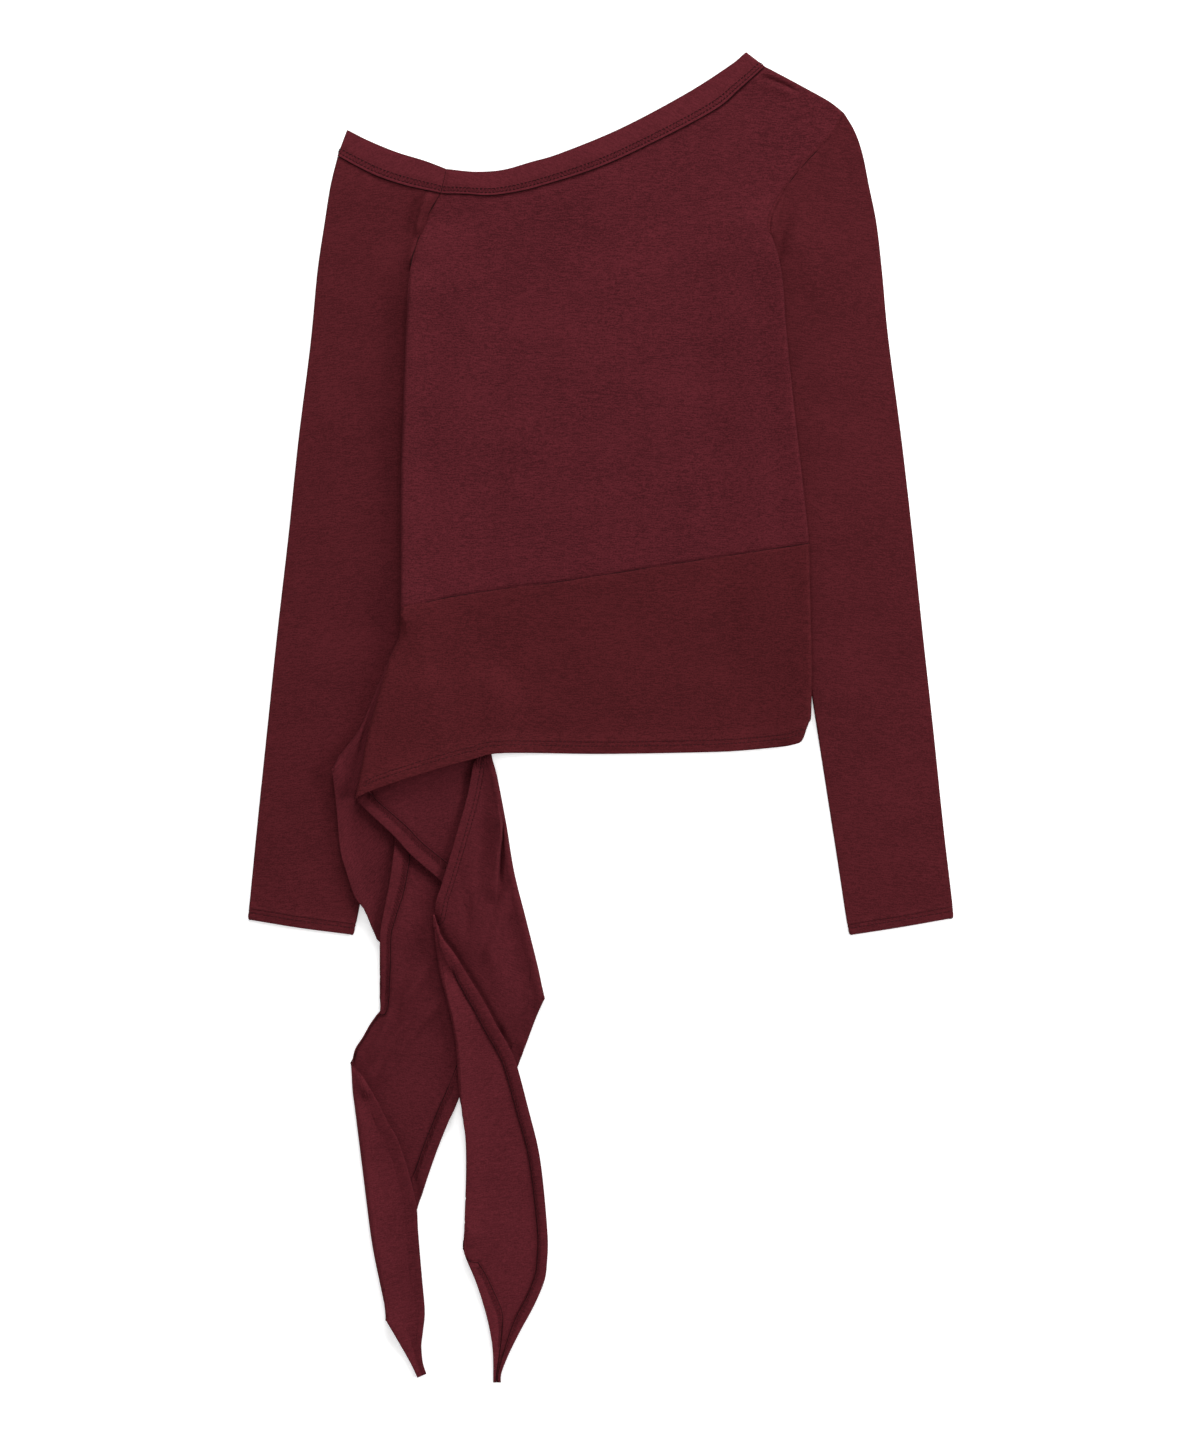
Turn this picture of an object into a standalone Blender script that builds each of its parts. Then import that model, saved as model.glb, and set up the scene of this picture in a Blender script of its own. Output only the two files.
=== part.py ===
# A long-sleeved, one-shoulder jersey top with two side ties, laid flat.
# Sizes are in metres. X runs across the garment, Y runs up to the neck, Z is up off the table.
# Each cloth piece is one sheet whose points follow its cut edges, thickened by Solidify.

import math

import bmesh
import bpy
import numpy as np

# Cloth
CLOTH = 0.0011  # thickness of the jersey
AIR = 0.0007  # air between layers that lie on each other
LAYER = CLOTH + AIR  # rise from one layer to the next
TIE_LAYER = LAYER + 0.0005  # the same over a returned tie, which lies less closely
SEAM_GAP = 0.0003  # clearance between two pieces along a seam
EDGE_TURN = LAYER / 2  # radius at which a sewn edge turns towards the layer below it
LEVEL_REACH = 0.010  # how far a layer stays level past the edge that it covers
SLOPE_REACH = 0.026  # how far it then takes to come down
SLEEVE_SLOPE_REACH = 0.050  # the same where the body comes down off a sleeve
SLEEVE_RISE = 2 * LAYER + 0.0012  # the two walls of a sleeve and the bulk of its seam
SEAM_SHIFT = 0.0005  # how far an edge stands back from its seam line, so that the curves clear each other

# Neck, with columns x, y: the seam below the band from the left sleeve's edge, and the band's top
SLEEVE_NECK = ((-0.2045, 0.4385), (-0.1920, 0.4317), (-0.1740, 0.4230), (-0.1510, 0.4155), (-0.1248, 0.4097))
BODY_NECK = (
    (-0.1242, 0.4093), (-0.1065, 0.4090), (-0.0885, 0.4080), (-0.0690, 0.4103), (-0.0470, 0.4155),
    (-0.0020, 0.4300), (0.0450, 0.4515), (0.0900, 0.4755), (0.1090, 0.4915), (0.1275, 0.5080),
)
BAND_TOP = (
    (-0.1970, 0.4585), (-0.1810, 0.4505), (-0.1590, 0.4415), (-0.1365, 0.4345), (-0.1200, 0.4282),
    (-0.0980, 0.4262), (-0.0765, 0.4278), (-0.0545, 0.4340), (-0.0320, 0.4407), (0.0155, 0.4602),
    (0.0670, 0.4875), (0.1014, 0.5095), (0.1131, 0.5190),
)

# Body edges, with columns x, y, from the neck down
SHOULDER = ((0.1278, 0.5082), (0.1450, 0.4992), (0.1620, 0.4900), (0.1785, 0.4806), (0.1895, 0.4720))
ARMHOLE = (
    (0.1895, 0.4720), (0.1814, 0.4566), (0.1619, 0.4356), (0.1470, 0.4176), (0.1369, 0.3997),
    (0.1326, 0.3880), (0.1320, 0.3785),
)
RIGHT_SIDE = (
    (0.1320, 0.3785), (0.1388, 0.3572), (0.1420, 0.3355), (0.1443, 0.3025), (0.1498, 0.2480),
    (0.1560, 0.1935), (0.1622, 0.1365),
)
LEFT_SIDE = (
    (-0.1245, 0.4090), (-0.1299, 0.3997), (-0.1349, 0.3907), (-0.1427, 0.3700), (-0.1482, 0.3480),
    (-0.1513, 0.2950), (-0.1537, 0.2320), (-0.1552, 0.1700), (-0.1552, 0.0815),
)
SIDE_SEAM_TOP = 4  # the row where the left side seam starts, under the arm
WAIST_SEAM = (
    (-0.1552, 0.0815), (-0.1525, 0.0855), (-0.1439, 0.0884), (-0.1126, 0.0956), (-0.0679, 0.1023),
    (-0.0312, 0.1069), (0.0390, 0.1178), (0.1622, 0.1365),
)
WAIST_SIDE = (
    (0.1622, 0.1360), (0.1630, 0.0920), (0.1642, 0.0452), (0.1640, 0.0030), (0.1615, -0.0070),
    (0.1530, -0.0205),
)

# Sleeve edges, with columns x, y, from the shoulder down
LEFT_SLEEVE_OUTER = (
    (-0.2045, 0.4385), (-0.2102, 0.4153), (-0.2149, 0.3857), (-0.2204, 0.3482), (-0.2258, 0.2920),
    (-0.2352, 0.2171), (-0.2430, 0.1423), (-0.2516, 0.0674), (-0.2594, -0.0075), (-0.2672, -0.0824),
    (-0.2732, -0.1430), (-0.2742, -0.1570),
)
LEFT_SLEEVE_INNER = (
    (-0.1245, 0.4090), (-0.1299, 0.3997), (-0.1349, 0.3907), (-0.1427, 0.3700), (-0.1482, 0.3480),
    (-0.1380, 0.3300), (-0.1310, 0.3080), (-0.1295, 0.2750), (-0.1362, 0.2060), (-0.1450, 0.1310),
    (-0.1552, 0.0560), (-0.1680, -0.0190), (-0.1800, -0.0940), (-0.1868, -0.1385), (-0.1924, -0.1690),
)
LEFT_CUFF = ((-0.2742, -0.1570), (-0.2340, -0.1634), (-0.1924, -0.1690))
RIGHT_SLEEVE_OUTER = (
    (0.1895, 0.4720), (0.1980, 0.4575), (0.2040, 0.4400), (0.2090, 0.4153), (0.2149, 0.3857),
    (0.2192, 0.3482), (0.2240, 0.2970), (0.2344, 0.2171), (0.2430, 0.1423), (0.2508, 0.0674),
    (0.2590, -0.0075), (0.2668, -0.0824), (0.2735, -0.1400), (0.2746, -0.1560),
)
RIGHT_SLEEVE_INNER = (
    (0.1325, 0.3780), (0.1300, 0.3630), (0.1265, 0.3490), (0.1245, 0.3280), (0.1262, 0.2980),
    (0.1300, 0.2640), (0.1357, 0.2168), (0.1482, 0.1270), (0.1570, 0.0690), (0.1661, 0.0109),
    (0.1778, -0.0640), (0.1862, -0.1180), (0.1910, -0.1500), (0.1942, -0.1690),
)
RIGHT_CUFF = ((0.2746, -0.1560), (0.2340, -0.1628), (0.1942, -0.1690))

# Front waist piece and the tie cut in one with it. The tie turns under along FRONT_FOLD_1, comes back
# over itself along FRONT_FOLD_2 and rolls over along FRONT_FOLD_3. Columns x, y.
# Each fold line runs from the tie's upper edge to its hemmed lower edge.
FRONT_HEM = (
    (0.1530, -0.0205), (0.1404, -0.0226), (0.1090, -0.0255), (0.0780, -0.0265), (0.0, -0.0277),
    (-0.0750, -0.0270), (-0.0990, -0.0316), (-0.1248, -0.0386), (-0.1560, -0.0484), (-0.1780, -0.0562),
    (-0.1895, -0.0615),
)
FRONT_FOLD_1 = (
    (-0.1552, 0.0803), (-0.1568, 0.0632), (-0.1630, 0.0491), (-0.1693, 0.0304), (-0.1747, 0.0109),
    (-0.1806, -0.0109), (-0.1864, -0.0406), (-0.1900, -0.0616),
)
FRONT_UPPER_EDGE_1 = ((-0.1552, 0.0803), (-0.1200, 0.0460), (-0.0889, 0.0101))
FRONT_LOWER_EDGE_1 = (
    (-0.1900, -0.0616), (-0.1872, -0.0663), (-0.1615, -0.0905), (-0.1474, -0.1061), (-0.1240, -0.1271),
    (-0.0858, -0.1654), (-0.0437, -0.2184),
)
FRONT_FOLD_2 = (
    (-0.0889, 0.0101), (-0.0874, -0.0094), (-0.0846, -0.0296), (-0.0803, -0.0460), (-0.0733, -0.0827),
    (-0.0671, -0.1201), (-0.0577, -0.1576), (-0.0484, -0.1950), (-0.0437, -0.2184),
)
FRONT_UPPER_EDGE_2 = (
    (-0.0889, 0.0101), (-0.0983, -0.0335), (-0.1040, -0.0616), (-0.1105, -0.0850), (-0.1157, -0.1030),
    (-0.1235, -0.1287), (-0.1271, -0.1396), (-0.1295, -0.1530),
)
FRONT_LOWER_EDGE_2 = (
    (-0.0437, -0.2184), (-0.0499, -0.2324), (-0.0569, -0.2512), (-0.0640, -0.2699), (-0.0780, -0.3136),
    (-0.0920, -0.3604), (-0.1037, -0.4010),
)
FRONT_FOLD_3 = (
    (-0.1295, -0.1530), (-0.1295, -0.1669), (-0.1274, -0.1849), (-0.1248, -0.2005), (-0.1196, -0.2200),
    (-0.1131, -0.2527), (-0.1104, -0.2917), (-0.1065, -0.3136), (-0.1045, -0.3448), (-0.1037, -0.4010),
)
FRONT_UPPER_EDGE_3 = (
    (-0.1295, -0.1530), (-0.1240, -0.1690), (-0.1150, -0.1815), (-0.1069, -0.1942), (-0.0991, -0.2067),
    (-0.0897, -0.2223), (-0.0819, -0.2371), (-0.0725, -0.2535), (-0.0655, -0.2691), (-0.0554, -0.3073),
    (-0.0468, -0.3448), (-0.0413, -0.4009), (-0.0417, -0.4243), (-0.0437, -0.4384), (-0.0515, -0.4571),
    (-0.0616, -0.4758), (-0.0710, -0.4945), (-0.0772, -0.5101), (-0.0776, -0.5175),
)
FRONT_LOWER_EDGE_3 = (
    (-0.1037, -0.4010), (-0.1065, -0.4100), (-0.1055, -0.4185), (-0.0975, -0.4384), (-0.0913, -0.4571),
    (-0.0866, -0.4758), (-0.0839, -0.4945), (-0.0837, -0.5175),
)

# Back waist piece and its tie, which comes over at BACK_FOLD_1, BACK_FOLD_2 and BACK_FOLD_3. Columns x, y.
BACK_HEM = (
    (0.1530, -0.0200), (0.1404, -0.0218), (0.0780, -0.0255), (0.0, -0.0267), (-0.0750, -0.0255),
    (-0.1300, -0.0300), (-0.1800, -0.0360), (-0.2090, -0.0412),
)
BACK_FOLD_1 = (
    (-0.1550, 0.0803), (-0.1572, 0.0632), (-0.1640, 0.0480), (-0.1755, 0.0203), (-0.1872, -0.0070),
    (-0.1989, -0.0234), (-0.2044, -0.0304), (-0.2090, -0.0412),
)
BACK_UPPER_EDGE_1 = ((-0.1550, 0.0803), (-0.1520, 0.0480), (-0.1443, 0.0140))
BACK_LOWER_EDGE_1 = (
    (-0.2090, -0.0412), (-0.2075, -0.0507), (-0.2051, -0.0741), (-0.2028, -0.1014), (-0.1989, -0.1162),
    (-0.1911, -0.1396), (-0.1849, -0.1474), (-0.1755, -0.1677), (-0.1708, -0.1755), (-0.1326, -0.2083),
    (-0.0858, -0.2293),
)
BACK_FOLD_2 = ((-0.1443, 0.0140), (-0.1350, -0.0400), (-0.1209, -0.1030), (-0.1040, -0.1650), (-0.0858, -0.2293))
BACK_UPPER_EDGE_2 = (
    (-0.1443, 0.0140), (-0.1560, -0.0562), (-0.1599, -0.0936), (-0.1638, -0.1248), (-0.1693, -0.1537),
    (-0.1716, -0.1693), (-0.1712, -0.1942), (-0.1716, -0.2254), (-0.1739, -0.2301), (-0.1794, -0.2379),
    (-0.1856, -0.2488), (-0.1911, -0.2574), (-0.1942, -0.2691),
)
BACK_LOWER_EDGE_2 = (
    (-0.0858, -0.2293), (-0.1014, -0.2738), (-0.1104, -0.2964), (-0.1154, -0.3073), (-0.1232, -0.3260),
    (-0.1303, -0.3448), (-0.1427, -0.3822), (-0.1560, -0.4267), (-0.1669, -0.4688),
)
BACK_FOLD_3 = (
    (-0.1942, -0.2691), (-0.1934, -0.2886), (-0.1911, -0.3073), (-0.1864, -0.3448), (-0.1841, -0.3635),
    (-0.1794, -0.4009), (-0.1763, -0.4196), (-0.1724, -0.4384), (-0.1685, -0.4571), (-0.1669, -0.4688),
)
BACK_UPPER_EDGE_3 = (
    (-0.1942, -0.2691), (-0.1856, -0.2785), (-0.1794, -0.2886), (-0.1732, -0.2995), (-0.1654, -0.3151),
    (-0.1583, -0.3276), (-0.1505, -0.3502), (-0.1435, -0.3791), (-0.1420, -0.4009), (-0.1388, -0.4384),
    (-0.1369, -0.4618), (-0.1381, -0.4758), (-0.1396, -0.4891), (-0.1385, -0.5023), (-0.1357, -0.5109),
)
BACK_LOWER_EDGE_3 = ((-0.1669, -0.4688), (-0.1560, -0.4883), (-0.1474, -0.5039), (-0.1427, -0.5140))

# Soft folds, with columns start x, start y, end x, end y, height, half width
TIE_FOLDS = (
    (-0.0810, -0.0700, -0.0850, -0.1500, 0.0030, 0.0075),
    (-0.0700, -0.1080, -0.0780, -0.1950, 0.0020, 0.0080),
    (-0.0500, -0.2120, -0.0740, -0.2440, 0.0018, 0.0060),
    (-0.1080, -0.0800, -0.1140, -0.1500, 0.0015, 0.0080),
)
TIE_ROLLS = (
    (-0.1280, -0.1600, -0.1130, -0.1900, 0.0040, 0.0120),
    (-0.1920, -0.2720, -0.1830, -0.2900, 0.0030, 0.0110),
)
TAIL_FOLDS = (
    (-0.1800, -0.2640, -0.1450, -0.2000, 0.0018, 0.0080),
    (-0.1640, -0.2820, -0.1330, -0.2150, 0.0015, 0.0080),
)
SLEEVE_ROLLS = ((-0.1290, 0.3990, -0.1420, 0.3730, 0.0024, 0.0070),)

# How finely each sheet is divided: shares of the way along it, or a number of even steps
NECK_ACROSS = (0, 0.025, 0.055, 0.095, 0.14, 0.19, 0.25, 0.32, 0.40, 0.49, 0.58, 0.67, 0.75, 0.82, 0.88, 0.94, 1)
SHOULDER_ACROSS = (0.2, 0.45, 0.72, 0.9, 1)
ARMHOLE_DOWN = (0, 0.10, 0.21, 0.33, 0.45, 0.57, 0.69, 0.80, 0.90, 1)
SIDE_DOWN = (0.08, 0.18, 0.31, 0.47, 0.64, 0.80, 0.91, 0.97, 1)
WAIST_ALONG = (
    0, 0.0008, 0.0026, 0.02, 0.05, 0.09, 0.14, 0.20, 0.27, 0.35, 0.43, 0.50, 0.56, 0.61, 0.66, 0.71, 0.755, 0.80,
    0.84, 0.88, 0.92, 0.96, 1,
)
TIE_ACROSS = 10
TIE_ALONG = {"turned": 13, "returned": 18, "rolled": 20}
SLEEVE_ALONG = (0.13, 0.16, 0.21, 0.30, 0.41, 0.53, 0.65, 0.77, 0.89, 1)
SLEEVE_OPEN_ROWS = 6  # rows above the left underarm, where the sleeve is sewn to the body
LEFT_SLEEVE_ACROSS = (0, 0.06, 0.15, 0.28, 0.42, 0.56, 0.70, 0.84, 0.94, 1)
BAND_SLEEVE_ALONG = 8
BAND_ACROSS = 2
FOLD_STEPS = 4

# Wine-red jersey, as each piece takes the light
COLOURS = {
    "front_body": (0.087, 0.0144, 0.0185, 1.0),
    "back_body": (0.080, 0.0135, 0.0170, 1.0),
    "front_waist_tie": (0.078, 0.0125, 0.0155, 1.0),
    "back_waist_tie": (0.083, 0.0140, 0.0178, 1.0),
    "sleeve_left": (0.081, 0.0135, 0.0170, 1.0),
    "sleeve_right": (0.083, 0.0140, 0.0178, 1.0),
    "neckband_body": (0.100, 0.0190, 0.0230, 1.0),
    "neckband_sleeve": (0.100, 0.0190, 0.0230, 1.0),
}
ROUGHNESS = 0.85


def clear_scene():
    for old in list(bpy.data.objects):
        bpy.data.objects.remove(old)


def jersey(piece):
    material = bpy.data.materials.new(piece + "_jersey")
    material.use_nodes = True
    shader = material.node_tree.nodes["Principled BSDF"]
    shader.inputs["Base Color"].default_value = COLOURS[piece]
    shader.inputs["Roughness"].default_value = ROUGHNESS
    shader.inputs["Metallic"].default_value = 0.0
    return material


def smooth(points):
    # A fine polyline through the given points.
    knots = np.array(points, float)
    ends = np.vstack([2 * knots[0] - knots[1], knots, 2 * knots[-1] - knots[-2]])
    fine = []
    for a, b, c, d in zip(ends[:-3], ends[1:-2], ends[2:-1], ends[3:]):
        for t in np.arange(12) / 12:
            fine.append(0.5 * (2 * b + (c - a) * t + (2 * a - 5 * b + 4 * c - d) * t**2 + (3 * b - a - 3 * c + d) * t**3))
    return np.array(fine + [knots[-1]])


def reach_along(line):
    return np.concatenate([[0], np.cumsum(np.linalg.norm(np.diff(line, axis=0), axis=1))])


def spread(points, shares):
    # Points at those shares of the length of an edge. A tuple of several tables has a true corner between them.
    several = np.ndim(points[0][0]) > 0
    line = np.vstack([smooth(table) for table in points]) if several else smooth(points)
    length = reach_along(line)
    at = np.array(shares) * length[-1]
    return np.stack([np.interp(at, length, line[:, k]) for k in (0, 1)], axis=1)


def corner_share(first, second):
    # The share of the way along two joined edges at which they meet.
    before, after = reach_along(smooth(first))[-1], reach_along(smooth(second))[-1]
    return before / (before + after)


def beside(points, distance):
    # The same points moved to the left of their direction of travel.
    points = np.array(points, float)
    way = np.gradient(points, axis=0)
    way /= np.linalg.norm(way, axis=1, keepdims=True)
    return points + distance * np.stack([-way[:, 1], way[:, 0]], axis=1)


def steps(count):
    return np.linspace(0, 1, count + 1)


def patch(upper, lower, start, end, along, across):
    # A grid of plan points between four edges: rows run across, columns run along.
    u, v = np.array(along)[None, :, None], np.array(across)[:, None, None]
    top, bottom = spread(upper, along)[None], spread(lower, along)[None]
    first, last = spread(start, across)[:, None], spread(end, across)[:, None]
    corners = (
        (1 - u) * (1 - v) * top[:, :1] + u * (1 - v) * top[:, -1:] + (1 - u) * v * bottom[:, :1] + u * v * bottom[:, -1:]
    )
    return (1 - v) * top + v * bottom + (1 - u) * first + u * last - corners


def outline(*edges):
    # A closed plan outline from edges given in order round it.
    return np.vstack([spread(edge, steps(24))[:-1] for edge in edges])


def backwards(points):
    return points[::-1]


def reach_inside(plan, border):
    # How far each plan point lies inside a closed outline, or outside it if negative.
    points = plan.reshape(-1, 2)
    a, b = border, np.roll(border, -1, axis=0)
    edge = b - a
    along = ((points[:, None] - a) * edge).sum(-1) / (edge**2).sum(-1)
    nearest = a + np.clip(along, 0, 1)[..., None] * edge
    distance = np.linalg.norm(points[:, None] - nearest, axis=-1).min(1)
    above = (a[:, 1] > points[:, None, 1]) != (b[:, 1] > points[:, None, 1])
    rise = np.where(edge[:, 1] == 0, 1, edge[:, 1])
    crossing = a[:, 0] + (points[:, None, 1] - a[:, 1]) / rise * edge[:, 0]
    inside = (above & (points[:, None, 0] < crossing)).sum(1) % 2 == 1
    return np.where(inside, distance, -distance).reshape(plan.shape[:2])


def eased(value):
    value = np.clip(value, 0, 1)
    return value * value * (3 - 2 * value)


def lift(plan, border, rise, slope_reach=SLOPE_REACH):
    # The rise of a layer over another one: full over it, easing down past its edge.
    return rise * eased(1 + (reach_inside(plan, border) + LEVEL_REACH) / slope_reach)


def fold_height(plan, folds):
    # Soft ridges, each along a straight line, dying out at both of its ends.
    total = np.zeros(plan.shape[:2])
    for x0, y0, x1, y1, height, half_width in folds:
        start, way = np.array((x0, y0)), np.array((x1 - x0, y1 - y0))
        along = ((plan - start) @ way) / (way @ way)
        off = np.linalg.norm(plan - start - np.clip(along, 0, 1)[..., None] * way, axis=-1)
        total += height * eased(1 - off / (2 * half_width))
    return total


def sheet_object(name, points, collection, closed_rows=None):
    # A sheet of cloth from a grid of points. Its first and last columns are sewn together on closed_rows.
    rows, columns = points.shape[:2]
    mesh = bmesh.new()
    bmesh.ops.create_grid(mesh, x_segments=columns - 1, y_segments=rows - 1, size=1)
    mesh.verts.ensure_lookup_table()
    for vertex, point in zip(mesh.verts, points.reshape(-1, 3)):
        vertex.co = point
    if closed_rows is not None:
        edges = [mesh.verts[row * columns + column] for row in closed_rows for column in (0, columns - 1)]
        bmesh.ops.remove_doubles(mesh, verts=edges, dist=1e-6)
    data = bpy.data.meshes.new(name)
    mesh.to_mesh(data)
    mesh.free()
    data.shade_smooth()
    data.materials.append(jersey(name))
    cloth = bpy.data.objects.new(name, data)
    collection.objects.link(cloth)
    wall = cloth.modifiers.new("Wall", "SOLIDIFY")
    wall.thickness = CLOTH
    wall.offset = 0
    return cloth


def end_to_end(first, second, first_shares, second_shares):
    # Shares of the way along two joined edges, from shares of each of them.
    meet = corner_share(first, second)
    return np.concatenate([meet * np.array(first_shares), meet + (1 - meet) * np.array(second_shares)])


def with_edge_lines(shares, width):
    # Adds the lines that a turned edge needs just inside each end.
    turn = EDGE_TURN / width
    inner = [s for s in shares if 2 * turn < s < 1 - 2 * turn]
    return np.array([0, 0.3 * turn, turn] + inner + [1 - turn, 1 - 0.3 * turn, 1])


def turned_rim(plan, towards):
    # The height by which a panel turns towards its partner at their joined edges, down if towards is -1.
    points = plan.reshape(-1, 2)
    nearest = np.full(len(points), EDGE_TURN)
    for seam in JOINED_EDGES:
        line = spread(seam, steps(80))
        a, edge = line[:-1], np.diff(line, axis=0)
        along = ((points[:, None] - a) * edge).sum(-1) / (edge**2).sum(-1)
        foot = a + np.clip(along, 0, 1)[..., None] * edge
        nearest = np.minimum(nearest, np.linalg.norm(points[:, None] - foot, axis=-1).min(1))
    left = 1 - nearest.reshape(plan.shape[:2]) / EDGE_TURN
    depth = (AIR - SEAM_GAP) / 2
    return towards * depth * (1 - np.sqrt(1 - left**2))


def stand(plan, height):
    return np.dstack([plan, height + CLOTH / 2])


def tube_points(plan, low, high, open_rows=0, seam_side=-1):
    # A flattened tube over a plan grid: up one wall, round the far fold and back along the other.
    # Its two long edges meet half way up the near fold, apart from the open rows.
    if seam_side > 0:
        plan, low, high = plan[:, ::-1], low[:, ::-1], high[:, ::-1]
    radius = (high - low) / 2
    middle = (high + low) / 2
    way = plan[:, 1] - plan[:, 0]
    way = way / np.linalg.norm(way, axis=1, keepdims=True)
    back = plan[:, -1] - plan[:, -2]
    back = back / np.linalg.norm(back, axis=1, keepdims=True)
    near_turn, far_turn = np.linspace(0, math.pi / 2, 3)[:-1], np.linspace(0, math.pi, FOLD_STEPS + 1)[1:-1]
    rows = []
    for i in range(len(plan)):
        edge, end, r0, r1 = plan[i, 0], plan[i, -1], radius[i, 0], radius[i, -1]
        walls = []
        for turn in near_turn:
            shift = 1 - math.cos(turn) if i >= open_rows else 0.5 * turn
            drop = math.sin(turn) if i >= open_rows else 1
            walls.append((*(edge + way[i] * r0 * shift), middle[i, 0] - r0 * drop))
        first = edge + way[i] * r0
        inner = plan[i, 1:-1]
        last = end - back[i] * r1
        low_wall = [(*first, low[i, 0])] + [(*p, z) for p, z in zip(inner, low[i, 1:-1])] + [(*last, low[i, -1])]
        high_wall = [(*last, high[i, -1])] + [(*p, z) for p, z in zip(inner[::-1], high[i, -2:0:-1])] + [(*first, high[i, 0])]
        far = [(*(last + back[i] * r1 * math.sin(t)), middle[i, -1] - r1 * math.cos(t)) for t in far_turn]
        closing = [(x, y, 2 * middle[i, 0] - z) for x, y, z in reversed(walls)]
        rows.append(walls + low_wall + far + high_wall + closing)
    points = np.array(rows)
    points[..., 2] += CLOTH / 2
    return points if seam_side < 0 else points[:, ::-1]


def ribbon_points(stretches):
    # One sheet through several stretches, each a plan grid and its heights, with a round fold between them.
    columns = []
    for index, (plan, height) in enumerate(stretches):
        plan, height = plan.copy(), height.copy()
        if index:
            plan[:, 0] = turned_from
        if index < len(stretches) - 1:
            line, radius = plan[:, -1].copy(), (stretches[index + 1][1][:, 0] - height[:, -1]) / 2
            tangent = np.gradient(line, axis=0)
            out = np.stack([tangent[:, 1], -tangent[:, 0]], axis=1)
            out /= np.linalg.norm(out, axis=1, keepdims=True)
            out *= np.sign((out * (line - plan[:, -3])).sum(1).mean())
            plan[:, -1] = line - out * (np.abs(radius) + CLOTH / 2)[:, None]
            turned_from = plan[:, -1]
        columns += [np.column_stack([plan[:, k], height[:, k]]) for k in range(plan.shape[1])]
        if index < len(stretches) - 1:
            for turn in np.linspace(0, math.pi, FOLD_STEPS + 1)[1:-1]:
                bulge = out * (np.abs(radius) * math.sin(turn))[:, None]
                z = height[:, -1] + radius * (1 - math.cos(turn))
                columns.append(np.column_stack([turned_from + bulge, z]))
    points = np.stack(columns, axis=1)
    points[..., 2] += CLOTH / 2
    return points


# Seams where the front is sewn straight to the back
JOINED_EDGES = (SHOULDER, LEFT_SIDE[SIDE_SEAM_TOP:], RIGHT_SIDE, WAIST_SIDE)

# Plan outlines of the layers that others lie on
BACK_OUTLINE = outline(
    BODY_NECK, SHOULDER, ARMHOLE, RIGHT_SIDE, WAIST_SIDE, BACK_HEM, backwards(BACK_FOLD_1), backwards(LEFT_SIDE)
)
LEFT_SLEEVE_OUTLINE = outline(SLEEVE_NECK, LEFT_SLEEVE_INNER, backwards(LEFT_CUFF), backwards(LEFT_SLEEVE_OUTER))
RIGHT_SLEEVE_OUTLINE = outline(RIGHT_SLEEVE_OUTER, RIGHT_CUFF, backwards(RIGHT_SLEEVE_INNER), backwards(ARMHOLE))
BACK_TURNED_OUTLINE = outline(BACK_FOLD_1, BACK_LOWER_EDGE_1, backwards(BACK_FOLD_2), backwards(BACK_UPPER_EDGE_1))
BACK_RETURNED_OUTLINE = outline(BACK_FOLD_2, BACK_LOWER_EDGE_2, backwards(BACK_FOLD_3), backwards(BACK_UPPER_EDGE_2))
FRONT_TURNED_OUTLINE = outline(FRONT_FOLD_1, FRONT_LOWER_EDGE_1, backwards(FRONT_FOLD_2), backwards(FRONT_UPPER_EDGE_1))
FRONT_RETURNED_OUTLINE = outline(FRONT_FOLD_2, FRONT_LOWER_EDGE_2, backwards(FRONT_FOLD_3), backwards(FRONT_UPPER_EDGE_2))


def over_sleeves(plan):
    # The body lies beside the sleeves at the armholes and over them below the underarms.
    y = plan[..., 1]
    left = lift(plan, LEFT_SLEEVE_OUTLINE, SLEEVE_RISE, SLEEVE_SLOPE_REACH) * eased((0.385 - y) / 0.035)
    right = lift(plan, RIGHT_SLEEVE_OUTLINE, SLEEVE_RISE, SLEEVE_SLOPE_REACH) * eased((0.410 - y) / 0.032)
    return left + right


def over_back(plan):
    return over_sleeves(plan) + lift(plan, BACK_OUTLINE, LAYER)


def over_back_turned(plan):
    return over_back(plan) + lift(plan, BACK_TURNED_OUTLINE, LAYER)


def over_back_tie(plan):
    folds = fold_height(plan, TAIL_FOLDS)
    return over_back_turned(plan) + lift(plan, BACK_RETURNED_OUTLINE, TIE_LAYER) + folds


def over_front_turned(plan):
    return over_back_tie(plan) + lift(plan, FRONT_TURNED_OUTLINE, LAYER)


def over_front_tie(plan):
    return over_front_turned(plan) + lift(plan, FRONT_RETURNED_OUTLINE, TIE_LAYER)


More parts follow.
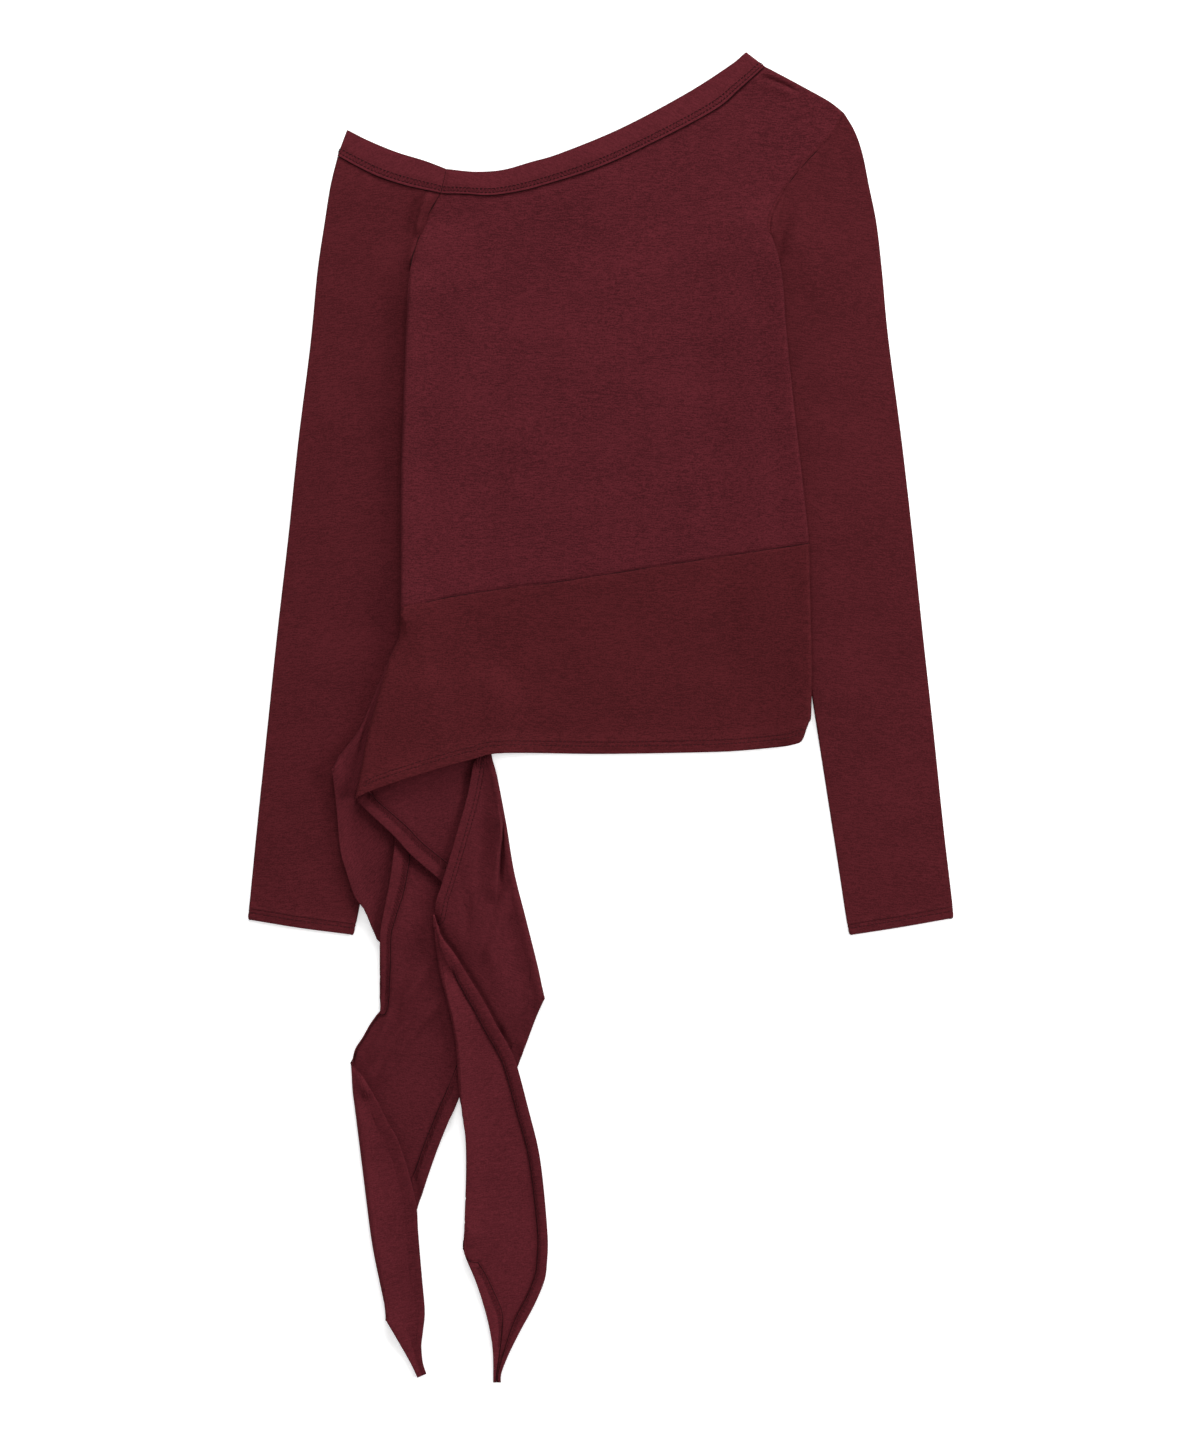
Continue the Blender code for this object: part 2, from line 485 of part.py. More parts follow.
def build_sleeves(collection):
    body_rows = end_to_end(ARMHOLE, RIGHT_SIDE, ARMHOLE_DOWN, SIDE_DOWN)[:SLEEVE_OPEN_ROWS]
    sewn = body_rows * reach_along(smooth(LEFT_SIDE))[-1] / reach_along(smooth(LEFT_SLEEVE_INNER))[-1]
    plan = patch(
        LEFT_SLEEVE_OUTER, beside(LEFT_SLEEVE_INNER, -SEAM_SHIFT), SLEEVE_NECK, LEFT_CUFF,
        np.concatenate([sewn, SLEEVE_ALONG]), LEFT_SLEEVE_ACROSS,
    ).transpose(1, 0, 2)
    low = np.zeros(plan.shape[:2])
    high = low + LAYER + fold_height(plan, SLEEVE_ROLLS)
    points = tube_points(plan, low, high, SLEEVE_OPEN_ROWS, 1)
    sheet_object("sleeve_left", points, collection, range(SLEEVE_OPEN_ROWS, len(plan)))

    up_the_armhole = 1 - np.array(backwards(ARMHOLE_DOWN))
    plan = patch(
        RIGHT_SLEEVE_INNER, RIGHT_SLEEVE_OUTER, beside(backwards(ARMHOLE), -SEAM_SHIFT), backwards(RIGHT_CUFF),
        (0, 0.03, 0.06, 0.09) + SLEEVE_ALONG, up_the_armhole,
    ).transpose(1, 0, 2)
    low = np.zeros(plan.shape[:2])
    points = tube_points(plan, low, low + LAYER)
    sheet_object("sleeve_right", points, collection, range(len(plan)))


def build_neckband(collection):
    # Each length of the band goes round its own end of the neck, front and back.
    across = steps(BAND_ACROSS)
    join = len(SLEEVE_NECK)
    for name, seam, top, far_end, along in (
        ("neckband_sleeve", SLEEVE_NECK, BAND_TOP[:join], -1, steps(BAND_SLEEVE_ALONG)),
        ("neckband_body", BODY_NECK, BAND_TOP[join - 1:], 1, NECK_ACROSS),
    ):
        seam = beside(seam, SEAM_SHIFT)
        top = np.array(top)
        end = 0 if far_end > 0 else -1
        way = (seam[1] - seam[0]) if far_end > 0 else (seam[-2] - seam[-1])
        back_off = SEAM_GAP / 2 * way / np.linalg.norm(way)
        seam[end] += back_off
        top[end] += back_off
        first, last = (top[0], seam[0]), (top[-1], seam[-1])
        plan = patch(top, seam, first, last, along, across)
        low = np.zeros(plan.shape[:2])
        points = tube_points(plan, low, low + LAYER, len(plan), -far_end)
        sheet_object(name, points, collection)


def build_body(collection):
    across = with_edge_lines(end_to_end(BODY_NECK, SHOULDER, NECK_ACROSS, SHOULDER_ACROSS), 0.32)
    down = with_edge_lines(end_to_end(ARMHOLE, RIGHT_SIDE, ARMHOLE_DOWN, SIDE_DOWN), 0.34)
    plan = patch((BODY_NECK, SHOULDER), WAIST_SEAM, LEFT_SIDE, (ARMHOLE, RIGHT_SIDE), across, down)
    back = over_sleeves(plan) + turned_rim(plan, 1)
    sheet_object("back_body", stand(plan, back), collection)
    front = over_front_tie(plan) + turned_rim(plan, -1)
    sheet_object("front_body", stand(plan, front), collection)


def build_back_waist(collection):
    across = steps(TIE_ACROSS)
    waist = patch(
        beside(backwards(WAIST_SEAM), SEAM_SHIFT), BACK_HEM, WAIST_SIDE, BACK_FOLD_1, WAIST_ALONG, across,
    )
    turned = patch(
        BACK_UPPER_EDGE_1, BACK_LOWER_EDGE_1, BACK_FOLD_1, BACK_FOLD_2, steps(TIE_ALONG["turned"]), across,
    )
    returned = patch(
        BACK_UPPER_EDGE_2, BACK_LOWER_EDGE_2, BACK_FOLD_2, BACK_FOLD_3, steps(TIE_ALONG["returned"]), across,
    )
    tip = (BACK_UPPER_EDGE_3[-1], BACK_LOWER_EDGE_3[-1])
    rolled = patch(
        BACK_UPPER_EDGE_3, BACK_LOWER_EDGE_3, BACK_FOLD_3, tip, steps(TIE_ALONG["rolled"]), across,
    )
    points = ribbon_points((
        (waist, over_sleeves(waist) + turned_rim(waist, 1)),
        (turned, over_back(turned)),
        (returned, over_back_turned(returned) + fold_height(returned, TAIL_FOLDS)),
        (rolled, over_back_tie(rolled) + fold_height(rolled, TIE_ROLLS)),
    ))
    sheet_object("back_waist_tie", points, collection)


def build_front_waist(collection):
    across = steps(TIE_ACROSS)
    waist = patch(
        beside(backwards(WAIST_SEAM), SEAM_SHIFT), FRONT_HEM, WAIST_SIDE, FRONT_FOLD_1, WAIST_ALONG, across,
    )
    turned = patch(
        FRONT_UPPER_EDGE_1, FRONT_LOWER_EDGE_1, FRONT_FOLD_1, FRONT_FOLD_2, steps(TIE_ALONG["turned"]), across,
    )
    returned = patch(
        FRONT_UPPER_EDGE_2, FRONT_LOWER_EDGE_2, FRONT_FOLD_2, FRONT_FOLD_3, steps(TIE_ALONG["returned"]), across,
    )
    tip = (FRONT_UPPER_EDGE_3[-1], FRONT_LOWER_EDGE_3[-1])
    rolled = patch(
        FRONT_UPPER_EDGE_3, FRONT_LOWER_EDGE_3, FRONT_FOLD_3, tip, steps(TIE_ALONG["rolled"]), across,
    )
    points = ribbon_points((
        (waist, over_front_tie(waist) + turned_rim(waist, -1)),
        (turned, over_back_tie(turned)),
        (returned, over_front_turned(returned) + fold_height(returned, TIE_FOLDS)),
        (rolled, over_front_tie(rolled) + fold_height(rolled, TIE_FOLDS + TIE_ROLLS)),
    ))
    sheet_object("front_waist_tie", points, collection)


def main():
    clear_scene()
    collection = bpy.data.collections.new("one_shoulder_top")
    bpy.context.scene.collection.children.link(collection)
    build_sleeves(collection)
    build_neckband(collection)
    build_body(collection)
    build_back_waist(collection)
    build_front_waist(collection)


main()
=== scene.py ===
# One-shoulder jersey top laid flat, dressed over its solids. Metres: X across, Y towards the neck, Z up.
import math

import bpy
import numpy as np
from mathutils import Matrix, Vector


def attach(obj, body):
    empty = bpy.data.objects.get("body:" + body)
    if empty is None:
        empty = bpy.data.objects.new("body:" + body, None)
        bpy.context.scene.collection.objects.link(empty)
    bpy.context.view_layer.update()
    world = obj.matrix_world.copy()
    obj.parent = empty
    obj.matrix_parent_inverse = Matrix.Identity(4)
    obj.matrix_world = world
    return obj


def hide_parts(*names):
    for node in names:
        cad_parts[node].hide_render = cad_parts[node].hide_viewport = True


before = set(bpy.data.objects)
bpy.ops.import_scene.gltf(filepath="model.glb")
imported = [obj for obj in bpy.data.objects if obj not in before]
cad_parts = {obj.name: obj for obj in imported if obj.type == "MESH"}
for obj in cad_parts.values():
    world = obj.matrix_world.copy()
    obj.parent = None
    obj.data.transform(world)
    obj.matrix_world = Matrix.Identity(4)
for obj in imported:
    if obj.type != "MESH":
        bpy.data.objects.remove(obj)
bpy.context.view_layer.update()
print("frame loaded")

cloth = {
    "thick": 0.0008,  # single jersey
    "hemThick": 0.0016,  # the same turned back once
    "pitch": 0.0018,  # from one layer to the next
    "tiePitch": 0.0026,  # over a returned tie
    "levelReach": 0.010,  # how far a layer stays level past the edge that it covers
    "slopeReach": 0.026,  # and how far it then takes to come down
    "sleeveSlope": 0.050,
    "sleeveRise": 0.0048,  # the body over the two walls of a sleeve
    "leftArmTop": (0.392, 0.035),  # where along Y that rise begins, and its span
    "rightArmTop": (0.412, 0.032),
}


def mm(*numbers):  # points from x, y, x, y and so on, in millimetres
    return np.reshape(numbers, (-1, 2)) / 1000


def crease(height, leftWidth, rightWidth, *numbers):  # millimetres too
    return mm(*numbers), height / 1000, leftWidth / 1000, rightWidth / 1000


# Edges
sleeveNeck = mm(-204.5, 438.5, -192, 431.7, -174, 423, -151, 415.5, -124.8, 409.7)
bodyNeck = mm(
    -124.2, 409.3, -106.5, 409, -88.5, 408, -69, 410.3, -47, 415.5, -2, 430, 45, 451.5, 90, 475.5, 109,
    491.5, 127.5, 508,
)
bandTop = mm(
    -197, 458.5, -181, 450.5, -159, 441.5, -136.5, 434.5, -120, 428.2, -98, 426.2, -76.5, 427.8, -54.5,
    434, -32, 440.7, 15.5, 460.2, 67, 487.5, 101.4, 509.5, 113.1, 519,
)
shoulder = mm(127.8, 508.2, 145, 499.2, 162, 490, 178.5, 480.6, 189.5, 472)
armhole = mm(189.5, 472, 181.4, 456.6, 161.9, 435.6, 147, 417.6, 136.9, 399.7, 132.6, 388, 132, 378.5)
rightSide = mm(132, 378.5, 138.8, 357.2, 142, 335.5, 144.3, 302.5, 149.8, 248, 156, 193.5, 162.2, 136.5)
leftSide = mm(
    -124.5, 409, -129.9, 399.7, -134.9, 390.7, -142.7, 370, -148.2, 348, -151.3, 295, -153.7, 232, -155.2,
    170, -155.2, 81.5,
)
leftUnderarm = 4  # the row of leftSide where the side seam starts
waistSeam = mm(
    -155.2, 81.5, -152.5, 85.5, -143.9, 88.4, -112.6, 95.6, -67.9, 102.3, -31.2, 106.9, 39, 117.8, 162.2,
    136.5,
)
waistSide = mm(162.2, 136, 163, 92, 164.1, 45.2, 163.7, 3, 162.3, -2, 160.1, -8, 157.9, -14.5, 156, -18)
leftSleeveOuter = mm(
    -204.5, 438.5, -210.2, 415.3, -214.9, 385.7, -220.4, 348.2, -225.8, 292, -235.2, 217.1, -243, 142.3,
    -251.6, 67.4, -259.4, -7.5, -267.2, -82.4, -273.4, -145, -274.4, -155, -273.2, -157,
)
leftSleeveInner = np.vstack([leftSide[:leftUnderarm + 1], mm(
    -138, 330, -131, 308, -129.5, 275, -136.2, 206, -145, 131, -155.2, 56, -168, -19, -180, -94, -186.8,
    -138.5, -192.2, -165.5, -193.8, -168.6,
)])
leftCuff = mm(-273.2, -157, -234, -163.4, -193.8, -168.6)
rightSleeveOuter = mm(
    189.5, 472, 198, 457.5, 204, 440, 209, 415.3, 214.9, 385.7, 219.2, 348.2, 224, 297, 234.4, 217.1, 243,
    142.3, 250.8, 67.4, 259, -7.5, 266.8, -82.4, 273.5, -140, 274.7, -154, 273.5, -155.8,
)
rightSleeveInner = mm(
    132.5, 378, 130, 363, 126.5, 349, 124.5, 328, 126.2, 298, 130, 264, 135.7, 216.8, 148.2, 127, 157, 69,
    166.1, 10.9, 177.8, -64, 186.2, -118, 191, -150, 193.8, -166, 195.5, -168.8,
)
rightCuff = mm(273.5, -155.8, 234, -162.8, 195.5, -168.8)

# The front tie: waist hem, then a fold line and the two edges of each stretch
frontHem = mm(
    156, -18, 153.8, -19.4, 149, -20.7, 140.4, -22.2, 109, -25.2, 78, -26.5, 0, -27.7, -75, -27, -99,
    -31.6, -124.8, -38.6, -156, -48.4, -178, -56.2, -189.5, -61.5,
)
frontFold1 = mm(
    -155.2, 80.3, -156.8, 63.2, -163, 49.1, -169.3, 30.4, -174.7, 10.9, -180.6, -10.9, -186.4, -40.6, -190,
    -61.6,
)
frontUpper1 = mm(-155.2, 80.3, -120, 46, -88.9, 10.1)
frontLower1 = mm(
    -190, -61.6, -187.2, -66.3, -161.5, -90.5, -147.4, -106.1, -124, -127.1, -85.8, -165.4, -43.7, -218.4,
)
frontFold2 = mm(
    -88.9, 10.1, -87.4, -9.4, -84.6, -29.6, -80.3, -46, -73.3, -82.7, -67.1, -120.1, -57.7, -157.6, -48.4,
    -195, -43.7, -218.4,
)
frontUpper2 = mm(
    -88.9, 10.1, -98.3, -33.5, -104, -61.6, -110.5, -85, -115.7, -103, -123.5, -128.7, -127.1, -139.6,
    -129.5, -153,
)
frontLower2 = mm(
    -43.7, -218.4, -49.9, -232.4, -56.9, -251.2, -64, -269.9, -78, -313.6, -92, -360.4, -103.7, -401,
)
frontFold3 = mm(
    -129.5, -153, -129.5, -166.9, -127.4, -184.9, -124.8, -200.5, -119.6, -220, -113.1, -252.7, -110.4,
    -291.7, -106.5, -313.6, -104.5, -344.8, -103.7, -401,
)
frontUpper3 = mm(
    -129.5, -153, -124, -169, -115, -181.5, -106.9, -194.2, -99.1, -206.7, -89.7, -222.3, -81.9, -237.1,
    -72.5, -253.5, -65.5, -269.1, -55.4, -307.3, -46.8, -344.8, -41.3, -400.9, -41.7, -424.3, -43.7,
    -438.4, -51.5, -457.1, -61.6, -475.8, -71, -494.5, -77.2, -510.1, -77.6, -517.5,
)
frontLower3 = mm(
    -103.7, -401, -106.5, -410, -105.5, -418.5, -97.5, -438.4, -91.3, -457.1, -86.6, -475.8, -83.9, -494.5,
    -83.7, -517.5,
)

# The back tie, in the same order
backHem = mm(
    156, -17.8, 153.8, -19.1, 149, -20.4, 140.4, -21.6, 78, -25.5, 0, -26.7, -75, -25.5, -130, -30, -180,
    -36, -209, -41.2,
)
backFold1 = mm(
    -155, 80.3, -157.2, 63.2, -164, 48, -175.5, 20.3, -187.2, -7, -198.9, -23.4, -204.4, -30.4, -209, -41.2,
)
backUpper1 = mm(-155, 80.3, -152, 48, -144.3, 14)
backLower1 = mm(
    -209, -41.2, -207.5, -50.7, -205.1, -74.1, -202.8, -101.4, -198.9, -116.2, -191.1, -139.6, -184.9,
    -147.4, -175.5, -167.7, -170.8, -175.5, -132.6, -208.3, -85.8, -229.3,
)
backFold2 = mm(-144.3, 14, -135, -40, -120.9, -103, -104, -165, -85.8, -229.3)
backUpper2 = mm(
    -144.3, 14, -156, -56.2, -159.9, -93.6, -163.8, -124.8, -169.3, -153.7, -171.6, -169.3, -171.2, -194.2,
    -171.6, -225.4, -173.9, -230.1, -179.4, -237.9, -185.6, -248.8, -191.1, -257.4, -194.2, -269.1,
)
backLower2 = mm(
    -85.8, -229.3, -101.4, -273.8, -110.4, -296.4, -115.4, -307.3, -123.2, -326, -130.3, -344.8, -142.7,
    -382.2, -156, -426.7, -166.9, -468.8,
)
backFold3 = mm(
    -194.2, -269.1, -193.4, -288.6, -191.1, -307.3, -186.4, -344.8, -184.1, -363.5, -179.4, -400.9, -176.3,
    -419.6, -172.4, -438.4, -168.5, -457.1, -166.9, -468.8,
)
backUpper3 = mm(
    -194.2, -269.1, -185.6, -278.5, -179.4, -288.6, -173.2, -299.5, -165.4, -315.1, -158.3, -327.6, -150.5,
    -350.2, -143.5, -379.1, -142, -400.9, -138.8, -438.4, -136.9, -461.8, -138.1, -475.8, -139.6, -489.1,
    -138.5, -502.3, -135.7, -510.9,
)
backLower3 = mm(-166.9, -468.8, -156, -488.3, -147.4, -503.9, -142.7, -514)


# Curves and plan grids

def smoothLine(points):
    if len(points) < 3:
        return np.array(points)
    knots = np.array(points)
    ends = np.vstack([2 * knots[0] - knots[1], knots, 2 * knots[-1] - knots[-2]])
    fine = []
    for a, b, c, d in zip(ends[:-3], ends[1:-2], ends[2:-1], ends[3:]):
        square, cube = 2 * a - 5 * b + 4 * c - d, 3 * b - a - 3 * c + d
        for t in np.arange(12) / 12:
            fine.append(0.5 * (2 * b + (c - a) * t + square * t**2 + cube * t**3))
    return np.array(fine + [knots[-1]])


def wholeLine(points):  # a tuple of several tables keeps a true corner between them
    several = np.ndim(points[0][0]) > 0
    return np.vstack([smoothLine(table) for table in points]) if several else smoothLine(points)


def lengthAlong(line):
    return np.concatenate([[0], np.cumsum(np.linalg.norm(np.diff(line, axis=0), axis=1))])


def pointsAt(line, places):
    length = lengthAlong(line)
    return np.stack([np.interp(places, length, values) for values in line.T], axis=-1)


def spread(points, shares):
    line = wholeLine(points)
    return pointsAt(line, np.array(shares) * lengthAlong(line)[-1])


def waysAlong(points):
    way = np.gradient(points, axis=0)
    return way / np.linalg.norm(way, axis=1, keepdims=True)


def steps(count):
    return np.linspace(0, 1, count + 1)


def stepsBetween(first, last, length, count):  # set distances from both ends, even steps between them
    first, last = np.array(first) / length, 1 - np.array(last)[::-1] / length
    return np.concatenate([first, np.linspace(first[-1], last[0], count + 2)[1:-1], last])


def beside(points, distance):  # moved to the left of the way they run
    way = waysAlong(points)
    return points + distance * np.stack([-way[:, 1], way[:, 0]], axis=1)


def startingAt(point, edge):  # the same edge with one straight step before it
    return (point, edge[0]), edge


def patch(upper, lower, start, end, along, across):
    u, v = np.array(along)[None, :, None], np.array(across)[:, None, None]
    top, bottom = spread(upper, along)[None], spread(lower, along)[None]
    first, last = spread(start, across)[:, None], spread(end, across)[:, None]
    upperCorners = (1 - u) * top[:, :1] + u * top[:, -1:]
    lowerCorners = (1 - u) * bottom[:, :1] + u * bottom[:, -1:]
    return (1 - v) * (top - upperCorners) + v * (bottom - lowerCorners) + (1 - u) * first + u * last


def outline(*edges):
    return np.vstack([spread(edge, steps(20))[:-1] for edge in edges])


def bell(value):
    return np.exp(-value**2)


def eased(value):
    value = np.clip(value, 0, 1)
    return value * value * (3 - 2 * value)


def nearestOn(plan, line):  # distance to a line, which side of it, and how far along it as a share
    points = plan.reshape(-1, 2)
    a, edge = line[:-1], np.diff(line, axis=0)
    reach, squared = lengthAlong(line), np.maximum((edge**2).sum(-1), 1e-14)
    distance, side, place = np.empty(len(points)), np.empty(len(points)), np.empty(len(points))
    for i in range(0, len(points), 4000):
        some = points[i:i + 4000, None] - a
        share = np.clip((some * edge).sum(-1) / squared, 0, 1)
        gap = some - share[..., None] * edge
        far = (gap**2).sum(-1)
        best = far.argmin(1)
        rows = np.arange(len(best))
        distance[i:i + 4000] = np.sqrt(far[rows, best])
        side[i:i + 4000] = edge[best, 0] * gap[rows, best, 1] - edge[best, 1] * gap[rows, best, 0]
        place[i:i + 4000] = (reach[:-1][best] + share[rows, best] * np.diff(reach)[best]) / reach[-1]
    shape = plan.shape[:2]
    return distance.reshape(shape), side.reshape(shape), place.reshape(shape)


def distanceTo(plan, *edges):
    return np.min([nearestOn(plan, wholeLine(edge))[0] for edge in edges], axis=0)


def reachInside(plan, border):
    points = plan.reshape(-1, 2)
    ring = np.vstack([border, border[:1]])
    distance = nearestOn(plan, ring)[0].reshape(-1)
    inside = np.zeros(len(points), bool)
    for a, b in zip(ring[:-1], ring[1:]):
        if a[1] != b[1]:
            level = (a[1] > points[:, 1]) != (b[1] > points[:, 1])
            inside ^= level & (points[:, 0] < a[0] + (points[:, 1] - a[1]) / (b[1] - a[1]) * (b[0] - a[0]))
    return np.where(inside, distance, -distance).reshape(plan.shape[:2])


def lift(plan, border, rise, slope=cloth["slopeReach"]):
    return rise * eased(1 + (reachInside(plan, border) + cloth["levelReach"]) / slope)


def creaseHeight(plan, creases):  # each one: its line, height, width on its left and on its right
    total = np.zeros(plan.shape[:2])
    for line, height, leftWidth, rightWidth in creases:
        distance, side, place = nearestOn(plan, smoothLine(line))
        width = np.where(side > 0, leftWidth, rightWidth)
        fade = eased(5 * place + 0.2) * eased(5 * (1 - place) + 0.2)
        total += height * eased(1 - distance / width) * fade
    return total


def setRows(upper, lower, start, end, along, fromUpper, fromLower, count, given=None):
    # a plan grid whose outer rows stand at set distances from its two long edges
    fine = steps(200)
    dense = patch(upper, lower, start, end, along, fine)
    toUpper = np.maximum.accumulate(nearestOn(dense, wholeLine(upper))[0], axis=0)
    toLower = np.maximum.accumulate(nearestOn(dense[::-1], wholeLine(lower))[0], axis=0)
    columns = []
    for k in range(dense.shape[1]):
        room = np.minimum(toUpper[:, k], toLower[::-1, k]).max()
        near, far = (np.array(rows) if np.ndim(rows) == 1 else rows[k] for rows in (fromUpper, fromLower))
        near, far = near * min(1, 0.9 * room / near[-1]), far * min(1, 0.9 * room / far[-1])
        first = np.interp(near, toUpper[:, k], fine)
        last = 1 - np.interp(far, toLower[:, k], fine)[::-1]
        shares = np.concatenate([first, np.linspace(first[-1], last[0], count + 2)[1:-1], last])
        gaps = np.maximum(np.diff(shares), 0.0005)
        columns.append(np.concatenate([[0], np.cumsum(gaps)]) / gaps.sum())
    shares = np.array(columns)
    if given is not None:  # the rows of the stretch before carry on over the fold
        turn = eased(np.array(along) * 7)[:, None]
        shares = given * (1 - turn) + shares * turn
    plan = [[np.interp(row, fine, dense[:, k, axis]) for axis in (0, 1)] for k, row in enumerate(shares)]
    return np.array(plan).transpose(2, 0, 1), shares[-1]


# Layers, from the table up

def topOutline(hem, fold):
    return outline(bodyNeck, shoulder, armhole, rightSide, waistSide, hem, fold[::-1], leftSide[::-1])


def stretchOutline(fold, lower, upper, nextFold=None):
    back = (upper,) if nextFold is None else (nextFold, upper)
    return outline(fold, lower, *(edge[::-1] for edge in back))


backOutline, frontTopOutline = topOutline(backHem, backFold1), topOutline(frontHem, frontFold1)
leftSleeveOutline = outline(sleeveNeck, leftSleeveInner, leftCuff[::-1], leftSleeveOuter[::-1])
rightSleeveOutline = outline(rightSleeveOuter, rightCuff, rightSleeveInner[::-1], armhole[::-1])
backTurnedOutline = stretchOutline(backFold1, backLower1, backUpper1, backFold2)
backReturnedOutline = stretchOutline(backFold2, backLower2, backUpper2, backFold3)
backRolledOutline = stretchOutline(backFold3, backLower3, backUpper3)
frontTurnedOutline = stretchOutline(frontFold1, frontLower1, frontUpper1, frontFold2)
frontReturnedOutline = stretchOutline(frontFold2, frontLower2, frontUpper2, frontFold3)
frontRolledOutline = stretchOutline(frontFold3, frontLower3, frontUpper3)

backTieCreases = (
    crease(3, 8, 7, -183, -271, -160, -230, -133, -192),
    crease(-1.2, 6, 6, -170, -261, -159, -225, -151, -202),
    crease(2.4, 8, 6, -172, -286, -150, -250, -124, -220),
    crease(0.8, 7, 7, -164, -220, -156, -180, -152, -140),
)
frontTieCreases = (
    crease(6, 2, 16, -76.2, -70, -76.8, -86, -79.2, -103, -80.7, -129.2, -83, -144),
    crease(-3, 3.6, 2.8, -73.5, -76, -74.5, -86, -77.2, -103, -78.8, -127),
    crease(-1.6, 7, 7, -104, -133, -104.8, -150, -104, -170),
    crease(2.4, 7, 8, -72.5, -133, -79, -160, -88.5, -193),
    crease(2.4, 6, 7, -53, -211, -64, -229, -77, -246),
    crease(1.3, 8, 9, -94.5, -50, -98.5, -85, -103.5, -126),
)


def overSleeves(plan):
    left = lift(plan, leftSleeveOutline, cloth["sleeveRise"], cloth["sleeveSlope"])
    right = lift(plan, rightSleeveOutline, cloth["sleeveRise"], cloth["sleeveSlope"])
    return left * belowLine(plan, *cloth["leftArmTop"]) + right * belowLine(plan, *cloth["rightArmTop"])


def belowLine(plan, top, span):
    return eased((top - plan[..., 1]) / span)


pile = (
    (backOutline, cloth["pitch"]),
    (backTurnedOutline, cloth["pitch"]),
    (backReturnedOutline, cloth["tiePitch"]),
    (frontTurnedOutline, cloth["pitch"]),
    (frontReturnedOutline, cloth["tiePitch"]),
)
onBack, onBackTurned, onBackTie, onFrontTurned, onFrontTie = range(1, 6)


def over(plan, layers):  # on the sleeves and on so many layers of the pile
    total = overSleeves(plan) + sum(lift(plan, border, rise) for border, rise in pile[:layers])
    return total + np.maximum(creaseHeight(plan, backTieCreases), 0) if layers >= onBackTie else total


roll = {
    "leftSide": 0.0074,  # how far the body's sides stand up, front and back together
    "rightSide": 0.0030,
    "shoulder": 0.0004,
    "sideReach": 0.014,
    "radius": 0.0024,
    "fold": 0.0030,  # how far a fold of a tie stands up
    "foldReach": 0.010,
    "freeEdge": 0.0026,  # and a free edge
    "edgeReach": 0.007,
    "cornerShare": 0.85,  # how much of that is held down at the corner where a fold begins
    "cornerReach": 0.010,
    "rollStart": 0.0016,  # a roll starts flat
    "rollReach": 0.006,
    "hemLift": 0.0048,  # the slanting part of the waist hem
    "hemOnHem": 0.0010,  # the front's hem lies on the back's
    "pressed": 0.0016,  # how far a layer is pressed down beside the edge that lies on it
    "pressedReach": 0.0024,
}


def rolledSides(plan, towards):  # front and back turn towards each other where they are sewn together
    total = np.zeros(plan.shape[:2])
    for edge, height, top in (
        (shoulder, roll["shoulder"], 1.0), (leftSide[leftUnderarm:], roll["leftSide"], 0.356),
        (rightSide, roll["rightSide"], 0.384), (waistSide, roll["rightSide"], 0.384),
    ):
        distance = distanceTo(plan, edge)
        bulge = height * belowLine(plan, top, 0.03)
        left = 1 - np.clip(distance / roll["radius"], 0, 1)
        turn = (bulge + cloth["pitch"] - cloth["thick"]) / 2 * (1 - np.sqrt(1 - left**2))
        stands = bulge * bell(distance / roll["sideReach"]) if towards < 0 else 0
        total = np.where(np.abs(stands + towards * turn) > np.abs(total), stands + towards * turn, total)
    return total


def standsUp(plan, lines, height, reach, covers=()):  # along these lines, where nothing lies on them
    total = height * bell(distanceTo(plan, *lines) / reach)
    for cover in covers:
        total *= eased((-reachInside(plan, cover) - 0.001) / 0.009)
    return total


def tuckedIn(plan, seam, side):  # how far a seam allowance lies below its neighbour's face
    distance, which, _ = nearestOn(plan, smoothLine(seam))
    return (cloth["thick"] + 0.0002) * eased(distance / 0.0008) * (which * side > 0) * (distance < 0.003)


def seamDip(plan, seams, depth, width, pucker):  # a sewn seam sinks and puckers a little
    total = np.zeros(plan.shape[:2])
    for number, seam in enumerate(seams):
        line = smoothLine(seam)
        distance, _, place = nearestOn(plan, line)
        run = place * lengthAlong(line)[-1]
        wave = np.sin(run / 0.0021 + number) + 0.7 * np.sin(run / 0.0037 + 2 * number)
        wave += 0.5 * np.sin(run / 0.0083)
        total += pucker * wave * np.exp(-distance / 0.005) - depth * bell(distance / width)
    return total


def softWaves(plan, height, seed):  # the slight unevenness of cloth smoothed out by hand
    x, y = plan[..., 0], plan[..., 1]
    draw = np.random.default_rng(seed)
    total = np.zeros(plan.shape[:2])
    for length in (0.045, 0.065, 0.10, 0.16):
        angle, phase = draw.uniform(0, math.pi), draw.uniform(0, 2 * math.pi)
        forward = (x * math.cos(angle) + y * math.sin(angle)) * 2 * math.pi / length
        aside = (x * math.sin(angle) - y * math.cos(angle)) * 2 * math.pi / (1.7 * length)
        total += np.sin(forward + phase + 0.9 * np.sin(aside + phase))
    return height * total / 4


